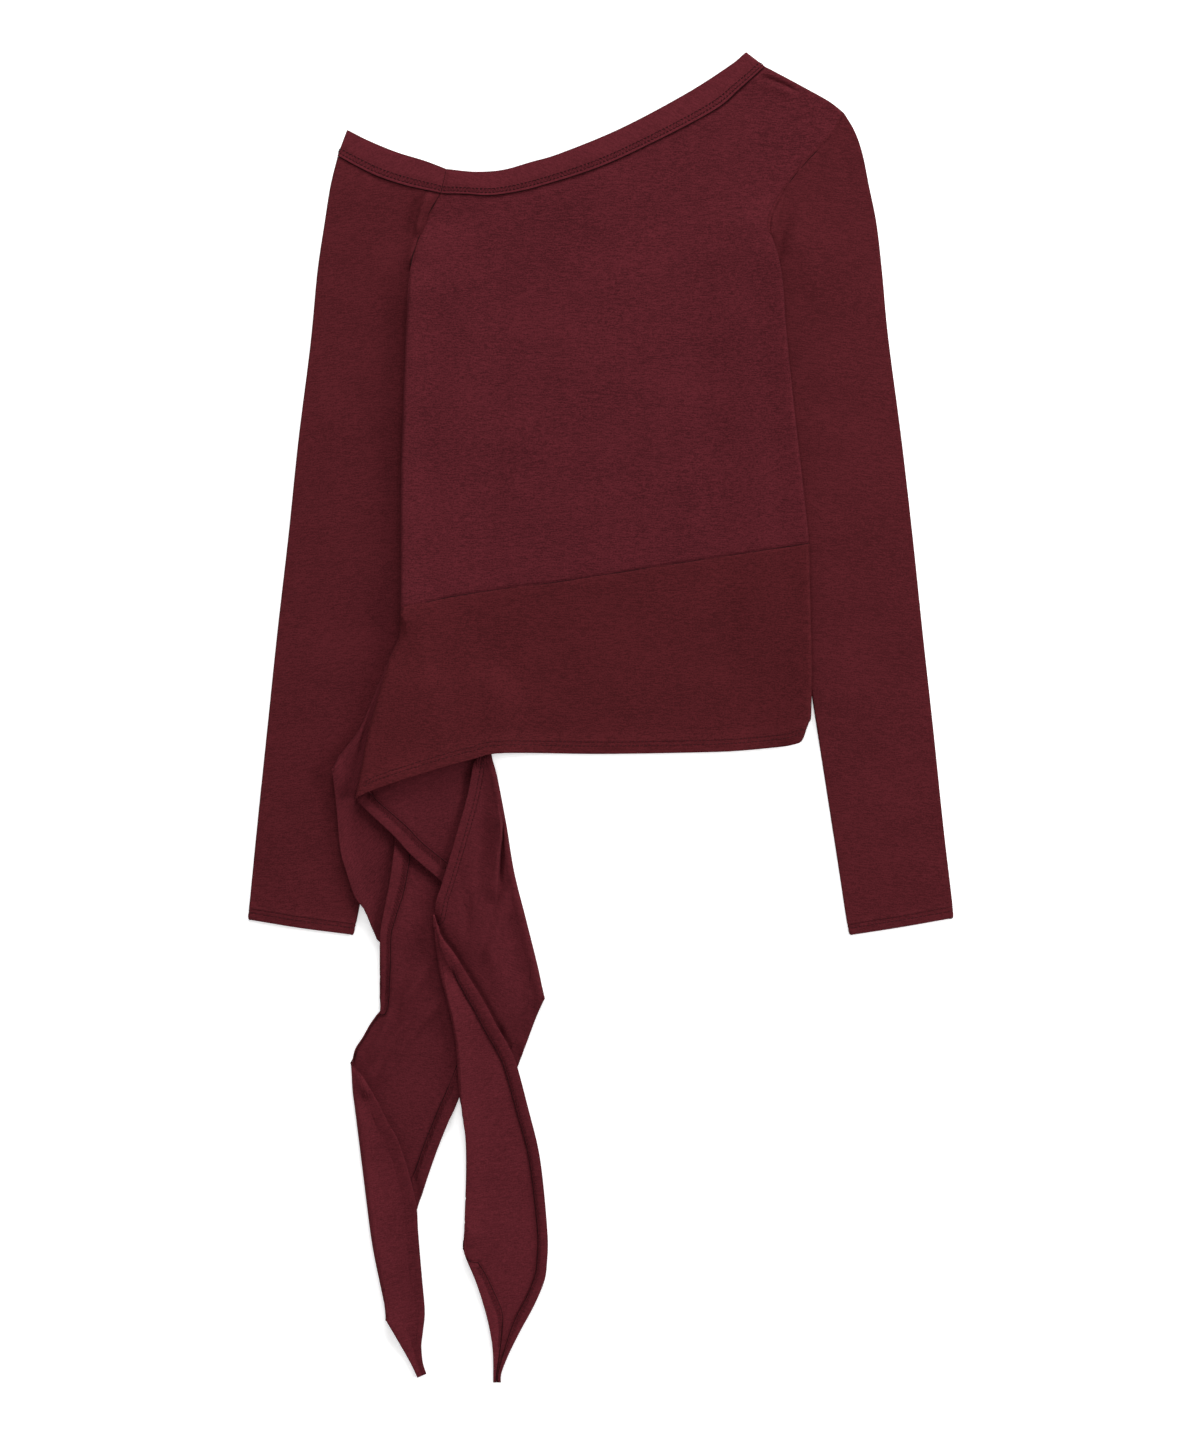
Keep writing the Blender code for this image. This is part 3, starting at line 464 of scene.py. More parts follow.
def shortCreases(line, seed, count, reach, height, lean):  # small ones that run in from an edge
    draw = np.random.default_rng(seed)
    edge = smoothLine(line)
    way = waysAlong(edge)
    made = []
    for place in np.linspace(0.04, 0.96, count) + draw.uniform(-0.4, 0.4, count) / count:
        k = int(np.clip(place, 0, 1) * (len(edge) - 1))
        inwards = np.array((way[k, 1], -way[k, 0])) + way[k] * draw.uniform(-lean, lean)
        begin = edge[k] + inwards * 0.0015
        finish = begin + inwards * draw.uniform(*reach)
        bow = (begin + finish) / 2 + way[k] * draw.uniform(-0.0012, 0.0012)
        width = draw.uniform(0.0022, 0.0048)
        made.append(((begin, bow, finish), draw.uniform(*height) * draw.choice((-1, 1)), width, width))
    return tuple(made)


# Cloth finishes

knit = {
    "wale": 0.0009,  # from one column of loops to the next
    "course": 0.0007,
    "relief": 0.00016,
    "streakLength": 0.005,
    "streakHeight": 0.0008,
}
# One jersey throughout. The tones differ per piece as painted light and shade: the waist and sleeves are
# toned darker and the band lighter for how light falls on each piece. Light and dark are the two ends of
# the knit's streaks.
tones = {
    "jersey_body": {"light": (0.0980, 0.0136, 0.0192), "dark": (0.0444, 0.0062, 0.0088)},
    "jersey_waist": {"light": (0.0800, 0.0108, 0.0140), "dark": (0.0424, 0.0058, 0.0074)},
    "jersey_sleeve": {"light": (0.0830, 0.0114, 0.0154), "dark": (0.0460, 0.0062, 0.0084)},
    "jersey_band": {"light": (0.0960, 0.0136, 0.0190), "dark": (0.0640, 0.0090, 0.0126)},
}


def finish(name, roughness, specular):  # its material, node tree, shader and texture coordinates
    material = bpy.data.materials.new(name)
    material.use_nodes = True
    tree = material.node_tree
    shader = tree.nodes["Principled BSDF"]
    shader.inputs["Roughness"].default_value = roughness
    shader.inputs["Specular IOR Level"].default_value = specular
    return material, tree, shader, tree.nodes.new("ShaderNodeTexCoord").outputs["Object"]


def node(tree, kind, **values):
    made = tree.nodes.new("ShaderNode" + kind)
    for socket, value in values.items():
        made.inputs[socket].default_value = value
    return made


def toned(tree, shader, shade, stops):  # each stop: its place, then its colour
    tone = node(tree, "ValToRGB")
    for stop, (position, colour) in zip(tone.color_ramp.elements, stops):
        stop.position = position
        stop.color = (*colour, 1.0)
    tree.links.new(shade, tone.inputs["Fac"])
    tree.links.new(tone.outputs["Color"], shader.inputs["Base Color"])


# depth scales both tones of a piece: lighter or darker copies of one jersey, painted light and shade for
# how light falls on that piece
def jersey(name, slotName, turn, depth=1.0, change=0.09):  # change: half the way from dark to light
    material, tree, shader, place = finish(name, 0.88, 0.05)
    turned = node(tree, "Mapping", Rotation=(0, 0, math.radians(turn)))
    tree.links.new(place, turned.inputs["Vector"])

    def noise(scale, detail):  # scale in features a metre along X, Y and Z
        stretch = node(tree, "Mapping", Scale=scale)
        tree.links.new(turned.outputs["Vector"], stretch.inputs["Vector"])
        made = node(tree, "TexNoise", Scale=1.0, Detail=detail, Roughness=0.6)
        tree.links.new(stretch.outputs["Vector"], made.inputs["Vector"])
        return made.outputs["Fac"]

    def ribs(direction, period, unevenness):
        made = node(tree, "TexWave", Scale=math.pi / (10 * period), Distortion=unevenness, Detail=1.0)
        made.bands_direction = direction
        tree.links.new(turned.outputs["Vector"], made.inputs["Vector"])
        return made.outputs["Fac"]

    def mixed(first, second, share):
        made = node(tree, "Mix", Factor=share)
        tree.links.new(first, made.inputs["A"])
        tree.links.new(second, made.inputs["B"])
        return made.outputs["Result"]

    streaks = noise((1 / knit["streakLength"], 1 / knit["streakHeight"], 150), 3.0)
    flecks = noise((800, 1200, 800), 1.0)
    clouds = noise((12, 22, 12), 2.0)
    shade = mixed(mixed(streaks, flecks, 0.48), clouds, 0.13)
    dark, light = ([depth * c for c in tones[slotName][colour]] for colour in ("dark", "light"))
    toned(tree, shader, shade, ((0.5 - change, dark), (0.5 + change, light)))

    loops = mixed(ribs("X", knit["wale"], 1.2), ribs("Y", knit["course"], 1.6), 0.40)
    bump = node(tree, "Bump", Strength=0.6, Distance=knit["relief"])
    tree.links.new(mixed(loops, streaks, 0.45), bump.inputs["Height"])
    tree.links.new(bump.outputs["Normal"], shader.inputs["Normal"])
    return material


def sewingThread(name, colour):
    material, tree, shader, place = finish(name, 0.8, 0.10)
    ply = node(tree, "TexNoise", Scale=2500.0)
    tree.links.new(place, ply.inputs["Vector"])
    dark, light = ([share * c for c in colour] for share in (0.75, 1.25))
    toned(tree, shader, ply.outputs["Fac"], ((0, dark), (1, light)))
    return material


# Darker than the cloth: a wine thread, partly painted shade of stitches sunk into the cloth.
wineThread = sewingThread("wine_thread", (0.034, 0.0046, 0.0064))
looperThread = sewingThread("looper_thread", (0.072, 0.0100, 0.0140))
# Near-black: the seam lines drawn with it are painted shadow of the seams' creases, and it darkens the
# band's stitches and the ties' raw edges as painted shade too.
darkThreadAndShade = sewingThread("dark_thread_and_painted_shade", (0.015, 0.0020, 0.0028))
print("finishes made")


# Sheets of cloth and their sewing

def added(name, data):
    made = bpy.data.objects.new(name, data)
    bpy.context.scene.collection.objects.link(made)
    return made


hemRows = {  # shares of a hem's depth, its raw edge at 1
    "shares": (0, 0.05, 0.15, 0.30, 0.46, 0.62, 0.78, 0.92, 0.98, 1.02, 1.07, 1.18),
    "outer": 5,  # the rows that carry the two lines of stitches
    "inner": 7,
    "rawEdge": 8,
}
seamRows = (0, 0.0003, 0.0009, 0.0014, 0.0020, 0.0028, 0.0038, 0.0050, 0.0064, 0.0080, 0.0100, 0.0125)


def hemOffsets(depth):
    return np.multiply.outer(depth, hemRows["shares"])


def gridNormals(points):
    across, along = np.gradient(points, axis=0), np.gradient(points, axis=1)
    normal = np.cross(along, across)
    return normal / np.maximum(np.linalg.norm(normal, axis=-1, keepdims=True), 1e-12)


def facing(points):  # with the side on which the upper wall shows
    normals = gridNormals(points)
    upper = points[..., 2] > np.median(points[..., 2])
    return normals, np.sign(normals[..., 2][upper].mean())


def clothSheet(name, points, materials, stretchOf=None, hem=None, closedRows=None, thick=cloth["thick"]):
    # stretchOf gives the material of each column of faces, hem where the cloth is double
    rows, columns = points.shape[:2]
    index = np.arange(rows * columns).reshape(rows, columns)
    corners = (index[:-1, :-1], index[:-1, 1:], index[1:, 1:], index[1:, :-1])
    faces = np.stack(corners, axis=-1).reshape(-1, 4)
    if closedRows is not None:  # the two long edges share their points there
        joined = np.arange(rows * columns)
        joined[index[closedRows:, -1]] = index[closedRows:, 0]
        faces = joined[faces]
    kept = np.unique(faces)
    compact = np.zeros(rows * columns, int)
    compact[kept] = np.arange(len(kept))
    half = thick / 2 if hem is None else (thick + (cloth["hemThick"] - thick) * hem) / 2
    points = np.dstack([points[..., :2], np.maximum(points[..., 2], half)])
    mesh = bpy.data.meshes.new(name)
    mesh.from_pydata(points.reshape(-1, 3)[kept].tolist(), [], compact[faces].tolist())
    for material in materials:
        mesh.materials.append(material)
    if stretchOf is not None:
        mesh.polygons.foreach_set("material_index", np.tile(stretchOf, rows - 1).astype(np.int32))
    mesh.shade_smooth()
    piece = added(name, mesh)
    wall = piece.modifiers.new("wall", "SOLIDIFY")
    wall.offset = 0
    wall.thickness = thick if hem is None else cloth["hemThick"]
    if hem is not None:
        double = piece.vertex_groups.new(name="double")
        single = thick / cloth["hemThick"]
        weights = np.round(single + (1 - single) * hem.reshape(-1)[kept], 2)
        for level in np.unique(weights):
            double.add(np.flatnonzero(weights == level).tolist(), float(level), "REPLACE")
        wall.vertex_group = "double"
    rim = piece.modifiers.new("rim", "BEVEL")
    rim.angle_limit = math.radians(50)
    rim.width = thick * 0.3
    rim.segments = 2
    return piece


stitch = {
    "length": 0.0022,
    "gap": 0.0010,
    "radius": 0.00034,
    "looperRadius": 0.00024,
    "bandLooperRadius": 0.000168,
    "edgeRadius": 0.00024,
    "seam": 0.00046,
    "dip": 0.0003,  # how far the cloth sinks under a row of stitches
    "narrowest": 0.0014,  # a hem narrower than this shows no ladder
}


def waysOut(points, up, share, places):  # the way out of the cloth at places along a row
    above = points + 0.001 * up
    ups = pointsAt(above, share * lengthAlong(above)[-1]) - places
    return ups / np.maximum(np.linalg.norm(ups, axis=1, keepdims=True), 1e-9)


def needleRow(points, up):  # dashes that sink into the cloth at both ends
    total = lengthAlong(points)[-1]
    begins = np.arange(0.0008, total - stitch["length"], stitch["length"] + stitch["gap"])
    at = (begins[:, None] + np.array((0, 0.2, 0.8, 1)) * stitch["length"]).ravel()
    tops = pointsAt(points, at)
    ups = waysOut(points, up, at / total, tops)
    depth = np.tile((-1.2, 0.4, 0.4, -1.2), len(begins))[:, None] * stitch["radius"]
    return list((tops + depth * ups).reshape(-1, 4, 3))


def looperRow(first, second, up):  # one thread to and fro between two rows
    total = lengthAlong(first)[-1]
    count = int(total / (0.42 * (stitch["length"] + stitch["gap"])))
    share = (np.arange(count) + 0.5) / count
    a = pointsAt(first, share * total)
    b = pointsAt(second, share * lengthAlong(second)[-1])
    ups = waysOut(first, up, share, a)
    odd = (np.arange(count) % 2)[:, None]
    path = a * (1 - odd) + b * odd + (0.7 * stitch["looperRadius"] + stitch["dip"]) * ups
    width = np.linalg.norm(a - b, axis=1)
    runs = [slice(i, i + 9) for i in range(0, count - 1, 8)]
    return [path[run] for run in runs if width[run].min() > stitch["narrowest"]]


def threads(name, rows, radius, material):
    curve = bpy.data.curves.new(name, "CURVE")
    curve.dimensions = "3D"
    curve.bevel_depth = radius
    curve.bevel_resolution = 0
    for row in rows:
        spline = curve.splines.new("POLY")
        spline.points.add(len(row) - 1)
        heights = np.maximum(row[:, 2], radius)
        spline.points.foreach_set("co", np.column_stack([row[:, :2], heights, np.ones(len(row))]).ravel())
    curve.materials.append(material)
    piece = added(name, curve)
    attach(piece, "root")
    return piece


def onFace(points, normals, row, columns, side, thick):
    # a grid's row on the face that the sign gives, with the way out of the cloth there
    return (points + side * thick / 2 * normals)[row, columns], side * normals[row, columns]


def twinNeedle(points, normals, rowNumbers, columns, side, thick):  # as the right side shows it
    lines = [onFace(points, normals, row, columns, side, thick) for row in rowNumbers]
    return [dash for line, up in lines for dash in needleRow(line, up)]


def coverStitch(points, normals, rowNumbers, columns, side, thick):  # the ladder of the wrong side
    (first, up), (second, _) = (onFace(points, normals, row, columns, side, thick) for row in rowNumbers)
    return looperRow(first, second, up)


def dress(piece, node):
    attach(piece, "root")
    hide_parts(node)


tubeFold, ribbonFold = 8, 10  # steps round a fold


def tubePoints(plan, low, high, openRows, seamSide, thick=cloth["thick"]):
    # up one wall of a flattened tube, round its far fold and back along the other wall
    if seamSide > 0:
        plan, low, high = plan[:, ::-1], low[:, ::-1], high[:, ::-1]
    radius, middle = (high - low) / 2, (high + low) / 2
    rows = []
    for i, line in enumerate(plan):
        edge, end, r0, r1 = line[0], line[-1], radius[i, 0], radius[i, -1]
        way, back = line[3] - edge, end - line[-4]
        way, back = way / np.linalg.norm(way), back / np.linalg.norm(back)
        walls = []
        for turn in np.linspace(0, math.pi / 2, 4)[:-1]:
            shift = 1 - math.cos(turn) if i >= openRows else 0.3 * turn
            drop = math.sin(turn) if i >= openRows else 1
            walls.append((*(edge + way * r0 * shift), middle[i, 0] - r0 * drop))
        first, last = edge + way * r0, end - back * r1
        share = np.linspace(0, 1, len(line) - 2)[:, None]
        inner = line[1:-1] + (first - edge) * (1 - share) + (last - end) * share
        wall = np.vstack([first, inner, last])
        far = [
            (*(last + back * r1 * math.sin(t)), middle[i, -1] - r1 * math.cos(t))
            for t in math.pi * steps(tubeFold)[1:-1]
        ]
        lowWall, highWall = np.column_stack([wall, low[i]]), np.column_stack([wall, high[i]])[::-1]
        closing = [(x, y, 2 * middle[i, 0] - z) for x, y, z in reversed(walls)]
        rows.append(np.vstack([walls, lowWall, far, highWall, closing]))
    points = np.array(rows)
    points[..., 2] += thick / 2
    return points if seamSide < 0 else points[:, ::-1]


def ribbonPoints(stretches):  # one sheet through several stretches, a round fold between them
    columns, stretchOf, spans = [], [], []
    for number, (plan, height) in enumerate(stretches):
        plan, height = plan.copy(), height.copy()
        if number:
            for k in range(1, 6):
                plan[:, k] -= out * inset * (1 - k / 6)
            plan[:, 0] = turnedFrom
        if number < len(stretches) - 1:
            line, radius = plan[:, -1].copy(), (stretches[number + 1][1][:, 0] - height[:, -1]) / 2
            way = waysAlong(line)
            out = np.stack([way[:, 1], -way[:, 0]], axis=1)
            out *= np.sign((out * (line - plan[:, -6])).sum(1).mean())
            run = lengthAlong(line)
            narrow = eased(np.minimum(run, run[-1] - run) / 0.012)  # a fold tapers off at both its ends
            inset = ((np.abs(radius) + cloth["thick"] / 2) * narrow)[:, None]
            for k in range(2, 7):  # the last columns draw in with the fold
                plan[:, -k] -= out * inset * (1 - (k - 1) / 6)
            plan[:, -1] = line - out * inset
            turnedFrom = plan[:, -1]
        spans.append(slice(len(columns), len(columns) + plan.shape[1]))
        columns += [np.column_stack([plan[:, k], height[:, k]]) for k in range(plan.shape[1])]
        stretchOf += [number] * plan.shape[1]
        if number < len(stretches) - 1:
            for turn in math.pi * steps(ribbonFold)[1:-1]:
                bulge = out * (np.abs(radius) * narrow * math.sin(turn))[:, None]
                rise = radius * (1 - math.cos(turn))
                columns.append(np.column_stack([turnedFrom + bulge, height[:, -1] + rise]))
                stretchOf.append(number + (turn > math.pi / 2))
    points = np.stack(columns, axis=1)
    points[..., 2] += cloth["thick"] / 2
    return points, np.array(stretchOf)[:-1], spans


# Sleeves

sleeves = {
    "across": 52,
    "along": 150,
    "cuffHem": 0.0102,
    "cuffSwell": 0.0010,  # the doubled cuff stands up a little
    "openRows": 24,  # along the left armhole, where the left one isn't closed yet
    "edgeColumns": (0, 0.0003, 0.0008, 0.0014, 0.0022, 0.0032),
    "leftWidth": 0.085,
    "rightWidth": 0.10,
    "rightLength": 0.60,
    "flat": (0.200, 0.640),
    "leftArea": 0.1084,
    "rightArea": 0.1105,
    "waves": 0.00045,
}
wholeCuff = hemOffsets(sleeves["cuffHem"])


def buildSleeve(name, plan, seam, neckSeam, bodySide, armTop, seed, turn, openRows, creases):
    distance = distanceTo(plan, seam)
    rise = cloth["sleeveRise"] * belowLine(plan, *armTop) * eased(1 - (distance - 0.0012) / 0.007)
    rise *= eased((plan[..., 1] - 0.346) / 0.018)
    allowance = tuckedIn(plan, seam, bodySide)
    low = rise + allowance
    high = cloth["pitch"] + rise - allowance
    high += seamDip(plan, (seam,) + neckSeam, 0.0008, 0.0012, 0.00016)
    high += softWaves(plan, sleeves["waves"], seed) * eased(distance / 0.03) + creaseHeight(plan, creases)
    fromCuff = hemRows["rawEdge"] + 5
    high[-fromCuff:] += sleeves["cuffSwell"] * eased(np.arange(1, fromCuff + 1) / 5)[:, None]
    points = tubePoints(plan, low, np.maximum(high, low + cloth["thick"]), openRows, bodySide)
    double = np.zeros(points.shape[:2])
    double[-hemRows["rawEdge"] - 1:] = 1
    normals, outside = facing(points)
    points = points - outside * (cloth["hemThick"] - cloth["thick"]) / 2 * double[..., None] * normals
    rows = [-hemRows["outer"] - 1, -hemRows["inner"] - 1]
    points[rows] -= outside * stitch["dip"] * normals[rows]
    knitted = jersey(name + "_knit", "jersey_sleeve", turn)
    piece = clothSheet(name + "_cloth", points, (knitted,), hem=double, closedRows=openRows)
    dashes = twinNeedle(points, normals, rows, slice(None), outside, cloth["hemThick"])
    sewing = threads(name + "_cuff_stitches", dashes, stitch["radius"], wineThread)
    dress(piece, name)


armSeam = leftSide[:leftUnderarm + 1]
underarm = lengthAlong(smoothLine(armSeam))[-1]
innerLength = lengthAlong(smoothLine(leftSleeveInner))[-1]
pastUnderarm = underarm + np.array((0, 0.0015, 0.0035))
leftRows = np.concatenate([
    steps(sleeves["openRows"])[:-1] * underarm / innerLength,
    stepsBetween(pastUnderarm, wholeCuff, innerLength, sleeves["along"]),
])
leftAcross, rightAcross = (
    stepsBetween(sleeves["edgeColumns"], sleeves["edgeColumns"], sleeves[width], sleeves["across"])
    for width in ("leftWidth", "rightWidth")
)
underBand = 0.0016  # how far a piece runs in under the neckband
underSeam = 0.0018  # and under its neighbour at a seam
leftArmCreases = (
    crease(5.4, 7, 2.6, -134.5, 408.5, -138.5, 399, -141.2, 389, -144, 377),
    crease(-1.2, 5, 9, -142, 406, -145, 393, -148, 379),
    crease(-0.6, 10, 10, -156, 350, -170, 330, -178, 305),
    (leftSide[leftUnderarm:], -0.0010, 0.004, 0.010),
)
sewnPoints = len(armSeam)
leftInner = np.vstack([beside(leftSleeveInner, underSeam)[:sewnPoints], leftSleeveInner[sewnPoints:]])
leftInner[0] += (0.0, underBand)
neckUnderBand = np.vstack([beside(sleeveNeck, underBand)[:-1], leftInner[:1]])
leftOuter = startingAt(neckUnderBand[0], leftSleeveOuter)
leftPlan = patch(leftOuter, leftInner, neckUnderBand, leftCuff, leftRows, leftAcross).transpose(1, 0, 2)
buildSleeve(
    "sleeve_left", leftPlan, armSeam, (sleeveNeck,), 1, cloth["leftArmTop"], 11, -6, sleeves["openRows"],
    leftArmCreases,
)
rightArmCreases = (
    crease(-0.6, 10, 10, 184, 448, 190, 430, 196, 408),
    crease(0.6, 12, 12, 148, 385, 160, 360, 170, 330),
    crease(-1.4, 5, 6, 154, 399, 145, 389, 140, 370, 137.5, 350),
    crease(2, 6, 8, 160, 396, 152, 380, 147, 360),
)
rightRows = stepsBetween(
    seamRows[:8], wholeCuff, sleeves["rightLength"], sleeves["along"] + sleeves["openRows"]
)
armholeUnder = beside(armhole[::-1], underSeam)
rightInner = startingAt(armholeUnder[0], rightSleeveInner)
rightOuter = startingAt(armholeUnder[-1], rightSleeveOuter)
rightPlan = patch(rightInner, rightOuter, armholeUnder, rightCuff[::-1], rightRows, rightAcross)
buildSleeve(
    "sleeve_right", rightPlan.transpose(1, 0, 2), armhole, (), -1, cloth["rightArmTop"], 12, 6, 0,
    rightArmCreases,
)
print("sleeves laid")


# Body, front and back

body = {
    "across": 120,
    "down": 150,
    "width": 0.30,
    "backAcross": 70,
    "backDown": 80,
    # depth 0.96: the front is a slightly darker copy of the back's jersey, painted shade
    "tone": (0.96, 0.10),  # the front's depth and change
    "flat": (0.345, 0.425),
    "area": 0.1001,
    "waves": 0.00055,
    "seamDepth": 0.0009,
    "seamWidth": 0.0011,
    "pucker": 0.00014,
}
bodyCreases = (
    crease(-2.4, 2.2, 3.6, 126.5, 501, 139, 496.5, 152, 490),
    crease(1.6, 4, 6, 123, 495, 138, 491.5, 153, 485),
    crease(-0.7, 6, 6, -118, 406, -128, 390, -135, 370),
    crease(0.5, 14, 14, -144, 347, -120, 320, -95, 295),
    crease(0.5, 15, 15, 128, 372, 105, 345, 80, 325),
    crease(0.4, 14, 14, 65, 270, 70, 200, 72, 135),
    crease(0.4, 16, 16, -50, 300, -65, 230, -70, 140),
)
neckCreases = shortCreases(bodyNeck, 5, 22, (0.008, 0.026), (0.00020, 0.00055), 0.5)
shoulderCreases = shortCreases(shoulder, 6, 9, (0.010, 0.028), (0.0003, 0.0008), 0.7)
armholeCreases = shortCreases(armhole, 7, 9, (0.007, 0.020), (0.00020, 0.00050), 0.4)


def bodyGrid(across, down, inset):
    columns = stepsBetween(seamRows[:8], seamRows[:8], body["width"], across)
    neck = beside(bodyNeck, inset)
    side = startingAt(neck[0], leftSide) if inset else leftSide
    edges = ((neck, shoulder), waistSeam, side, (armhole, rightSide))
    return setRows(*edges, columns, seamRows, seamRows, down)[0]


def bodySeams(plan, seams):
    return seamDip(plan, seams, body["seamDepth"], body["seamWidth"], body["pucker"])


plan = bodyGrid(body["backAcross"], body["backDown"], 0)
height = overSleeves(plan) + rolledSides(plan, 1)
points = np.dstack([plan, height + cloth["thick"] / 2])
piece = clothSheet("back_body_cloth", points, (jersey("back_body_knit", "jersey_body", 0),))
dress(piece, "back_body")

plan = bodyGrid(body["across"], body["down"], underBand)
height = over(plan, onFrontTie) + rolledSides(plan, -1) + bodySeams(plan, (shoulder,)) * 0.5
height += bodySeams(plan, (waistSeam, armhole, armSeam, bodyNeck))
fromEdges = distanceTo(plan, waistSeam)
height += softWaves(plan, body["waves"], 21) * eased(fromEdges / 0.03)
height += creaseHeight(plan, bodyCreases + neckCreases + shoulderCreases + armholeCreases)
points = np.dstack([plan, height + cloth["thick"] / 2])
knitted = jersey("front_body_knit", "jersey_body", 0, *body["tone"])
piece = clothSheet("front_body_cloth", points, (knitted,))
left, right = points[:, 0], points[:, -1]
# Dark lines along the waist seam and the armholes: painted shadow of the seams' creases.
seamShadowLines = (
    points[-1] + (0, -0.00025, 0.0003),
    left[(left[:, 1] > 0.352) & (left[:, 1] < 0.4085)] + (-0.00025, 0.0001, 0.0003),
    right[(right[:, 1] > 0.380) & (right[:, 1] < 0.450)] + (0.0002, -0.0001, 0.0002),
)
sewing = threads("front_body_seam_shadow", seamShadowLines, stitch["seam"], darkThreadAndShade)
dress(piece, "front_body")
print("body laid")


# Neckband, folded over along its top

band = {
    "thick": 0.0013,
    "proud": 0.0009,
    "joinDip": 0.0008,
    "overlap": -0.0640,  # where the twin stitching runs over its own start
    "bodyFlat": (0.0191, 0.546),
    "sleeveFlat": (0.0191, 0.190),
    "bodyArea": 0.0104,
    "sleeveArea": 0.0036,
    "crown": 0.0004,
    "groove": 0.00045,  # along each row of stitches
    "stitchRows": (0.0051, 0.0019),
    "rows": (
        0, 0.0004, 0.0010, 0.0019, 0.0035, 0.0051, 0.0068, 0.0085, 0.0102, 0.0120, 0.0138, 0.0155, 0.0170,
        0.0182, 0.0190,
    ),
    "fromJoin": (0, 0.0004, 0.0009, 0.0016, 0.0026),
    "fromEnd": (0, 0.002),
    "overlapWidth": 0.0014,
}


def buildBand(name, seam, top, farEnd, count):
    tall = np.array(band["rows"])[::-1]
    share = 1 - tall / tall[0]
    length = lengthAlong(smoothLine(seam))[-1]
    ends = (band["fromJoin"], band["fromEnd"])[::farEnd]
    along = stepsBetween(*ends, length, count)
    plan = patch(top, seam, (top[0], seam[0]), (top[-1], seam[-1]), along, share)
    crown = band["crown"] * np.sin(math.pi * np.clip(share, 0.06, 0.94))
    crown -= band["groove"] * np.isin(tall, band["stitchRows"])
    joined = along * length if farEnd > 0 else (1 - along) * length
    dip = band["joinDip"] * bell(joined / 0.0011)
    high = cloth["pitch"] + band["proud"] + crown[:, None] - dip
    points = tubePoints(plan, np.zeros(plan.shape[:2]), high, len(plan), -farEnd, band["thick"])
    normals, outside = facing(points)
    knitted = jersey(name + "_knit", "jersey_band", 27 if farEnd > 0 else -22)
    piece = clothSheet(name + "_cloth", points, (knitted,), thick=band["thick"])
    rows = [int(np.flatnonzero(tall == at)[0]) for at in band["stitchRows"]]
    face = (points, normals, rows, slice(None), outside, band["thick"])
    dashes, ladder = twinNeedle(*face), coverStitch(*face)
    if farEnd > 0:
        upperRow, lowerRow = (
            onFace(points, normals, row, slice(0, count), outside, band["thick"])[0] for row in rows
        )
        for shift in (-band["overlapWidth"] / 2, band["overlapWidth"] / 2):
            k = int(np.argmin(np.abs(upperRow[:, 0] - band["overlap"] - shift)))
            mark = np.array((upperRow[k], (upperRow[k] + lowerRow[k]) / 2, lowerRow[k]))
            ladder.append(mark + (shift, 0, 0.0002))
    edge = points[-1]
    # Dark lines under the band's lower edge and along its join: painted shadow.
    seamShadowLines = [edge[edge[:, 2] > np.median(edge[:, 2])] + (0, -0.0002, -0.0004)]
    if farEnd > 0:
        seamShadowLines += [points[1:, -1] + (-0.0002, 0, rise) for rise in (0.0003, -0.0009)]
    # The band's stitches and ladder are drawn near-black, real threads darkened as painted shade.
    made = [
        threads(name + "_seam_shadow", seamShadowLines, stitch["seam"], darkThreadAndShade),
        threads(name + "_stitches", dashes, stitch["radius"], darkThreadAndShade),
        threads(name + "_looper", ladder, stitch["bandLooperRadius"], darkThreadAndShade),
    ]
    dress(piece, name)


joinRow = len(sleeveNeck)
buildBand("neckband_sleeve", sleeveNeck, bandTop[:joinRow], -1, 50)
buildBand("neckband_body", bodyNeck, bandTop[joinRow - 1:], 1, 170)
print("neckband laid")


# Waist pieces with the ties cut in one with them

ties = {
    "middleRows": 58,
    "waistColumns": 120,
    "waistWidth": 0.32,
    "foldColumns": (0, 0.0015, 0.003, 0.005),
    "columns": {"turned": 46, "returned": 80, "rolled": 90},
    "waistHem": 0.0100,
    "hemGroove": 0.0004,
    "hidden": {"upper": 8, "lower": 16},  # columns of a roll whose hem is still under its fold
    "toneChange": 0.15,
    "flat": (0.30, 0.95),
    "frontArea": 0.0964,
    "backArea": 0.0929,
    "waves": 0.00035,
}

# Hem depths of the turned, returned and rolled stretches, on the upper and on the lower edge:
# shares along the edge, then the depth there. A hem seen at a slant, or rolled in, looks narrower.
evenHem = ((0, 1), (0.0100, 0.0100))
frontHems = (
    (evenHem, ((0, 1), (0.0100, 0.0180))),
    (((0, 1), (0.0095, 0.0095)), ((0, 0.15, 0.8, 1), (0.0180, 0.0100, 0.0080, 0.0010))),
    (
        ((0, 0.3, 0.5, 0.65, 0.8, 1), (0.0096, 0.0102, 0.0086, 0.0075, 0.0084, 0.0062)),
        (
            (0, 0.19, 0.24, 0.28, 0.30, 0.40, 0.52, 0.65, 0.80, 1),
            (0.0006, 0.0008, 0.0028, 0.0055, 0.0071, 0.0090, 0.0107, 0.0128, 0.0115, 0.0050),
        ),
    ),
)
backHems = (
    (evenHem, evenHem),
    (
        (
            (0, 0.26, 0.37, 0.56, 0.70, 0.80, 1),
            (0.0138, 0.0129, 0.0121, 0.0074, 0.0039, 0.0014, 0.0014),
        ),
        ((0, 1), (0.0117, 0.0105)),
    ),
    (evenHem, evenHem),
)


def hemAlong(count, hem):
    return hemOffsets(np.interp(steps(count), *hem))


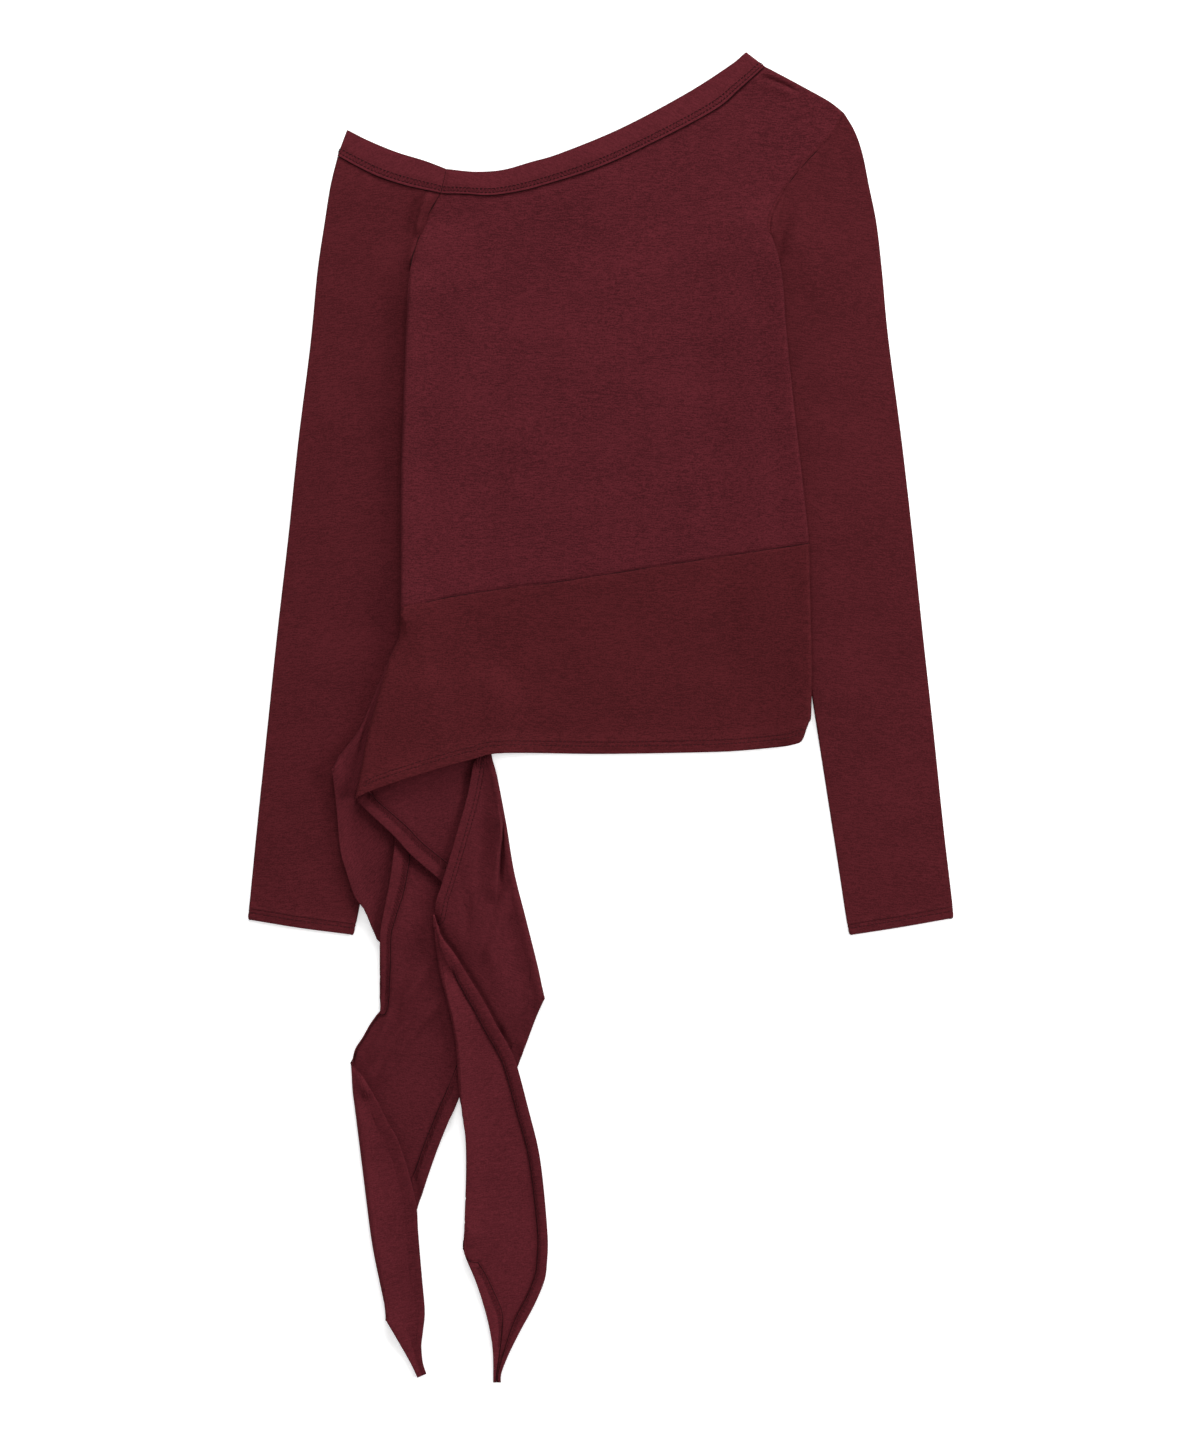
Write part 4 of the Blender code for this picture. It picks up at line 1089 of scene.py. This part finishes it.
def buildTie(
    name, hemEdge, folds, edges, hems, bare, heights, angles, paintedLightAndShade, wrongSide, waistHeight, seed,
):
    # bare gives the edges whose stitches don't show, as stretch and end
    (upper1, lower1), (upper2, lower2), (upper3, lower3) = edges
    tip = (upper3[-1], lower3[-1])
    seam = waistSeam[::-1] + (0, underSeam)
    waistColumns = stepsBetween(seamRows[:8], ties["foldColumns"], ties["waistWidth"], ties["waistColumns"])
    counts = list(ties["columns"].values())
    (above1, below1), (above2, below2), (above3, below3) = (
        [hemAlong(count, hem) for hem in pair] for count, pair in zip(counts, hems)
    )
    layout = (
        (
            seam, hemEdge, startingAt(seam[0], waistSide), startingAt(seam[-1], folds[0]), waistColumns,
            seamRows, hemOffsets(ties["waistHem"]),
        ),
        (upper1, lower1, folds[0], folds[1], steps(counts[0]), above1, below1),
        (upper2, lower2, folds[1], folds[2], steps(counts[1]), above2, below2),
        (upper3, lower3, folds[2], tip, steps(counts[2]), above3, below3),
    )
    stretches, given = [], None
    for number, (upper, lower, start, end, along, fromUpper, fromLower) in enumerate(layout):
        rows = (fromUpper, fromLower, ties["middleRows"], given)
        plan, given = setRows(upper, lower, start, end, along, *rows)
        height = stretchHeight(plan, **heights[number - 1]) if number else waistHeight(plan)
        away = distanceTo(plan, folds[max(number - 1, 0)])
        height = height + softWaves(plan, ties["waves"], seed + number) * eased(away / 0.02)
        stretches.append((plan, height))
    points, stretchOf, spans = ribbonPoints(stretches)
    normals = gridNormals(points)
    hem = np.zeros(points.shape[:2])
    hem[-hemRows["rawEdge"] - 1:] = 1
    hem[:hemRows["rawEdge"] + 1, spans[1].start:] = 1
    points = points + wrongSide * (cloth["hemThick"] - cloth["thick"]) / 2 * hem[..., None] * normals
    outer, inner, rawEdge = hemRows["outer"], hemRows["inner"], hemRows["rawEdge"]
    needles, ladder, rawEdges = [], [], []
    for number, span in enumerate(spans):
        up = 1 if normals[10:-10, span, 2].mean() > 0 else -1
        for end in ("upper", "lower") if number else ("lower",):
            if (number, end) in bare:
                continue
            rows = [outer, inner, rawEdge, rawEdge + 1, rawEdge + 2]
            rows = rows if end == "upper" else [-row - 1 for row in rows]
            shown = slice(span.start + ties["hidden"][end], span.stop) if number == 3 else span
            points[rows[:2], shown, 2] -= stitch["dip"]
            face = (points, normals, rows[:2], shown, up, cloth["hemThick"])
            if up != wrongSide:
                needles += twinNeedle(*face)
                continue
            points[rows[3:], shown, 2] -= ties["hemGroove"]
            ladder += coverStitch(*face)
            # A near-black thread along the raw edge: partly the looper thread, partly painted shadow of the
            # edge's step.
            rawEdges.append(onFace(points, normals, rows[2], shown, up, cloth["hemThick"])[0])
    materials = [jersey(f"{name}_knit_waist", "jersey_waist", angles[0])]
    # each stretch is a lighter or darker copy of the same jersey: painted light above 1, painted shade
    # below 1
    for part, angle, depth in zip(ties["columns"], angles[1:], paintedLightAndShade):
        materials.append(jersey(f"{name}_knit_{part}", "jersey_body", angle, depth, ties["toneChange"]))
    piece = clothSheet(name + "_cloth", points, materials, stretchOf, hem)
    made = [
        threads(name + "_stitches", needles, stitch["radius"], wineThread),
        threads(name + "_looper", ladder, stitch["looperRadius"], looperThread),
        threads(name + "_raw_edges", rawEdges, stitch["edgeRadius"], darkThreadAndShade),
    ]
    dress(piece, name)


waistCreases = (
    crease(0.5, 12, 12, 115, 118, 112, 60, 108, 0),
    crease(-0.5, 10, 12, -90, 60, -95, 10, -90, -30),
    crease(0.5, 10, 10, -140, 70, -135, 30, -150, -15),
)


def backWaistHeight(plan):
    return overSleeves(plan) + rolledSides(plan, 1) + tuckedIn(plan, waistSeam, 1)


def frontWaistHeight(plan):
    top = over(plan, onFrontTie) + rolledSides(plan, -1) + creaseHeight(plan, waistCreases)
    top += standsUp(plan, (frontFold1,), roll["fold"], roll["foldReach"])
    top += standsUp(plan, (frontHem,), roll["hemLift"], 0.010) * eased((-0.02 - plan[..., 0]) / 0.06)
    top += roll["hemOnHem"] * eased(1.5 - distanceTo(plan, frontHem) / 0.012)
    return top + bodySeams(plan, (waistSeam,)) - tuckedIn(plan, waistSeam, 1)


rollCreases = (
    crease(3.4, 10, 14, -125, -168, -119, -180, -111, -195),
)
tailRoll = (
    crease(3, 10, 12, -190, -278, -186, -285, -181, -294),
)


def near(plan, corner, reach):
    return bell(np.linalg.norm(plan - corner, axis=-1) / reach)


def stretchHeight(plan, on, edges, fold=None, covers=(), pressedBy=(), creases=(), under=(), rolls=False):
    # on: how many layers it lies on; covers: the outlines that hold its edges down; under: creases below it
    raised = standsUp(plan, edges, roll["freeEdge"], roll["edgeReach"], covers)
    if fold is not None:
        raised += standsUp(plan, (fold,), roll["fold"], roll["foldReach"], covers)
        raised *= 1 - roll["cornerShare"] * near(plan, fold[0], roll["cornerReach"])
    total = over(plan, on) + raised + creaseHeight(plan, creases) + np.maximum(creaseHeight(plan, under), 0)
    if pressedBy:
        total -= roll["pressed"] * bell(distanceTo(plan, *pressedBy) / roll["pressedReach"])
    return total - rolls * roll["rollStart"] * near(plan, edges[0][0], roll["rollReach"])


backHeights = (
    {
        "on": onBack, "fold": backFold1, "edges": (backLower1,), "pressedBy": (backUpper2, frontLower1),
        "covers": (backReturnedOutline, frontTurnedOutline, frontReturnedOutline, frontTopOutline),
    },
    {
        "on": onBackTurned, "fold": backFold2, "edges": (backUpper2, backLower2), "creases": backTieCreases,
        "pressedBy": (frontLower1, frontUpper2, backUpper3),
        "covers": (
            backRolledOutline, frontTurnedOutline, frontReturnedOutline, frontRolledOutline,
            frontTopOutline,
        ),
    },
    {
        "on": onBackTie, "fold": backFold3, "edges": (backUpper3, backLower3), "creases": tailRoll,
        "rolls": True,
    },
)
frontHeights = (
    {
        "on": onBackTie, "edges": (frontLower1,), "pressedBy": (frontHem, frontUpper2),
        "covers": (frontReturnedOutline, frontTopOutline),
    },
    {
        "on": onFrontTurned, "fold": frontFold2, "edges": (frontUpper2, frontLower2),
        "creases": frontTieCreases, "pressedBy": (frontHem, frontUpper3),
        "covers": (frontRolledOutline, frontTopOutline),
    },
    {
        "on": onFrontTie, "fold": frontFold3, "edges": (frontUpper3, frontLower3), "creases": rollCreases,
        "under": frontTieCreases, "rolls": True,
    },
)
# The third tuple of numbers in each call: painted light and shade of the turned, returned and rolled
# stretches.
buildTie(
    "back_waist_tie", backHem, (backFold1, backFold2, backFold3),
    ((backUpper1, backLower1), (backUpper2, backLower2), (backUpper3, backLower3)),
    backHems, {(1, "lower"), (3, "upper"), (3, "lower")}, backHeights, (0, -48, 10, -11),
    (0.96, 1.02, 1.12), 1, backWaistHeight, 31,
)
buildTie(
    "front_waist_tie", frontHem, (frontFold1, frontFold2, frontFold3),
    ((frontUpper1, frontLower1), (frontUpper2, frontLower2), (frontUpper3, frontLower3)),
    frontHems, {(2, "lower")}, frontHeights, (0, -8, 20, -8), (0.94, 0.99, 1.16), -1, frontWaistHeight, 41,
)
print("ties laid")


# Surface, light and camera

studio = {
    "floorSize": 3.0,
    "floorColour": (0.97, 0.97, 0.97, 1.0),
    "worldStrength": 0.26,
    "floorGlow": 0.35,
    "cameraHeight": 4.0,
    "viewHeight": 1.1232,  # metres of floor in the picture's long side
    "centre": (-0.0004, -0.00125),
}
reach = studio["floorSize"] / 2
mesh = bpy.data.meshes.new("floor")
corners = [(-reach, -reach, 0), (reach, -reach, 0), (reach, reach, 0), (-reach, reach, 0)]
mesh.from_pydata(corners, [], [(0, 1, 2, 3)])
floor = added("floor", mesh)
floor.location.z = -0.0003
paper = bpy.data.materials.new("pale_paper")
paper.use_nodes = True
for socket, value in (
    ("Base Color", studio["floorColour"]), ("Roughness", 0.9), ("Emission Color", (1, 1, 1, 1)),
    ("Emission Strength", studio["floorGlow"]),
):
    paper.node_tree.nodes["Principled BSDF"].inputs[socket].default_value = value
mesh.materials.append(paper)

world = bpy.data.worlds.new("studio")
world.use_nodes = True
world.node_tree.nodes["Background"].inputs["Color"].default_value = (1, 1, 1, 1)
world.node_tree.nodes["Background"].inputs["Strength"].default_value = studio["worldStrength"]
bpy.context.scene.world = world
for name, power, place, size in (
    ("overhead", 12.5, (0.0, 0.1, 2.6), 1.8),
    ("softbox_left", 12.0, (-2.3, 0.2, 1.25), 1.3),
    ("softbox_right", 52.0, (2.3, 0.2, 1.25), 1.3),
    ("softbox_top", 64.0, (0.0, 2.5, 1.30), 1.3),
    ("softbox_bottom", 9.0, (0.0, -2.5, 1.30), 1.3),
):
    light = bpy.data.lights.new(name, "AREA")
    light.size = size
    light.energy = power
    lamp = added(name, light)
    lamp.location = place
    lamp.rotation_euler = Vector(place).to_track_quat("Z", "Y").to_euler()

lens = bpy.data.cameras.new("camera")
lens.sensor_width = 36.0
lens.lens = 36.0 * studio["cameraHeight"] / studio["viewHeight"]
camera = added("camera", lens)
camera.location = (*studio["centre"], studio["cameraHeight"])
bpy.context.scene.camera = camera
bpy.context.scene.view_settings.view_transform = "Standard"
print("studio set")
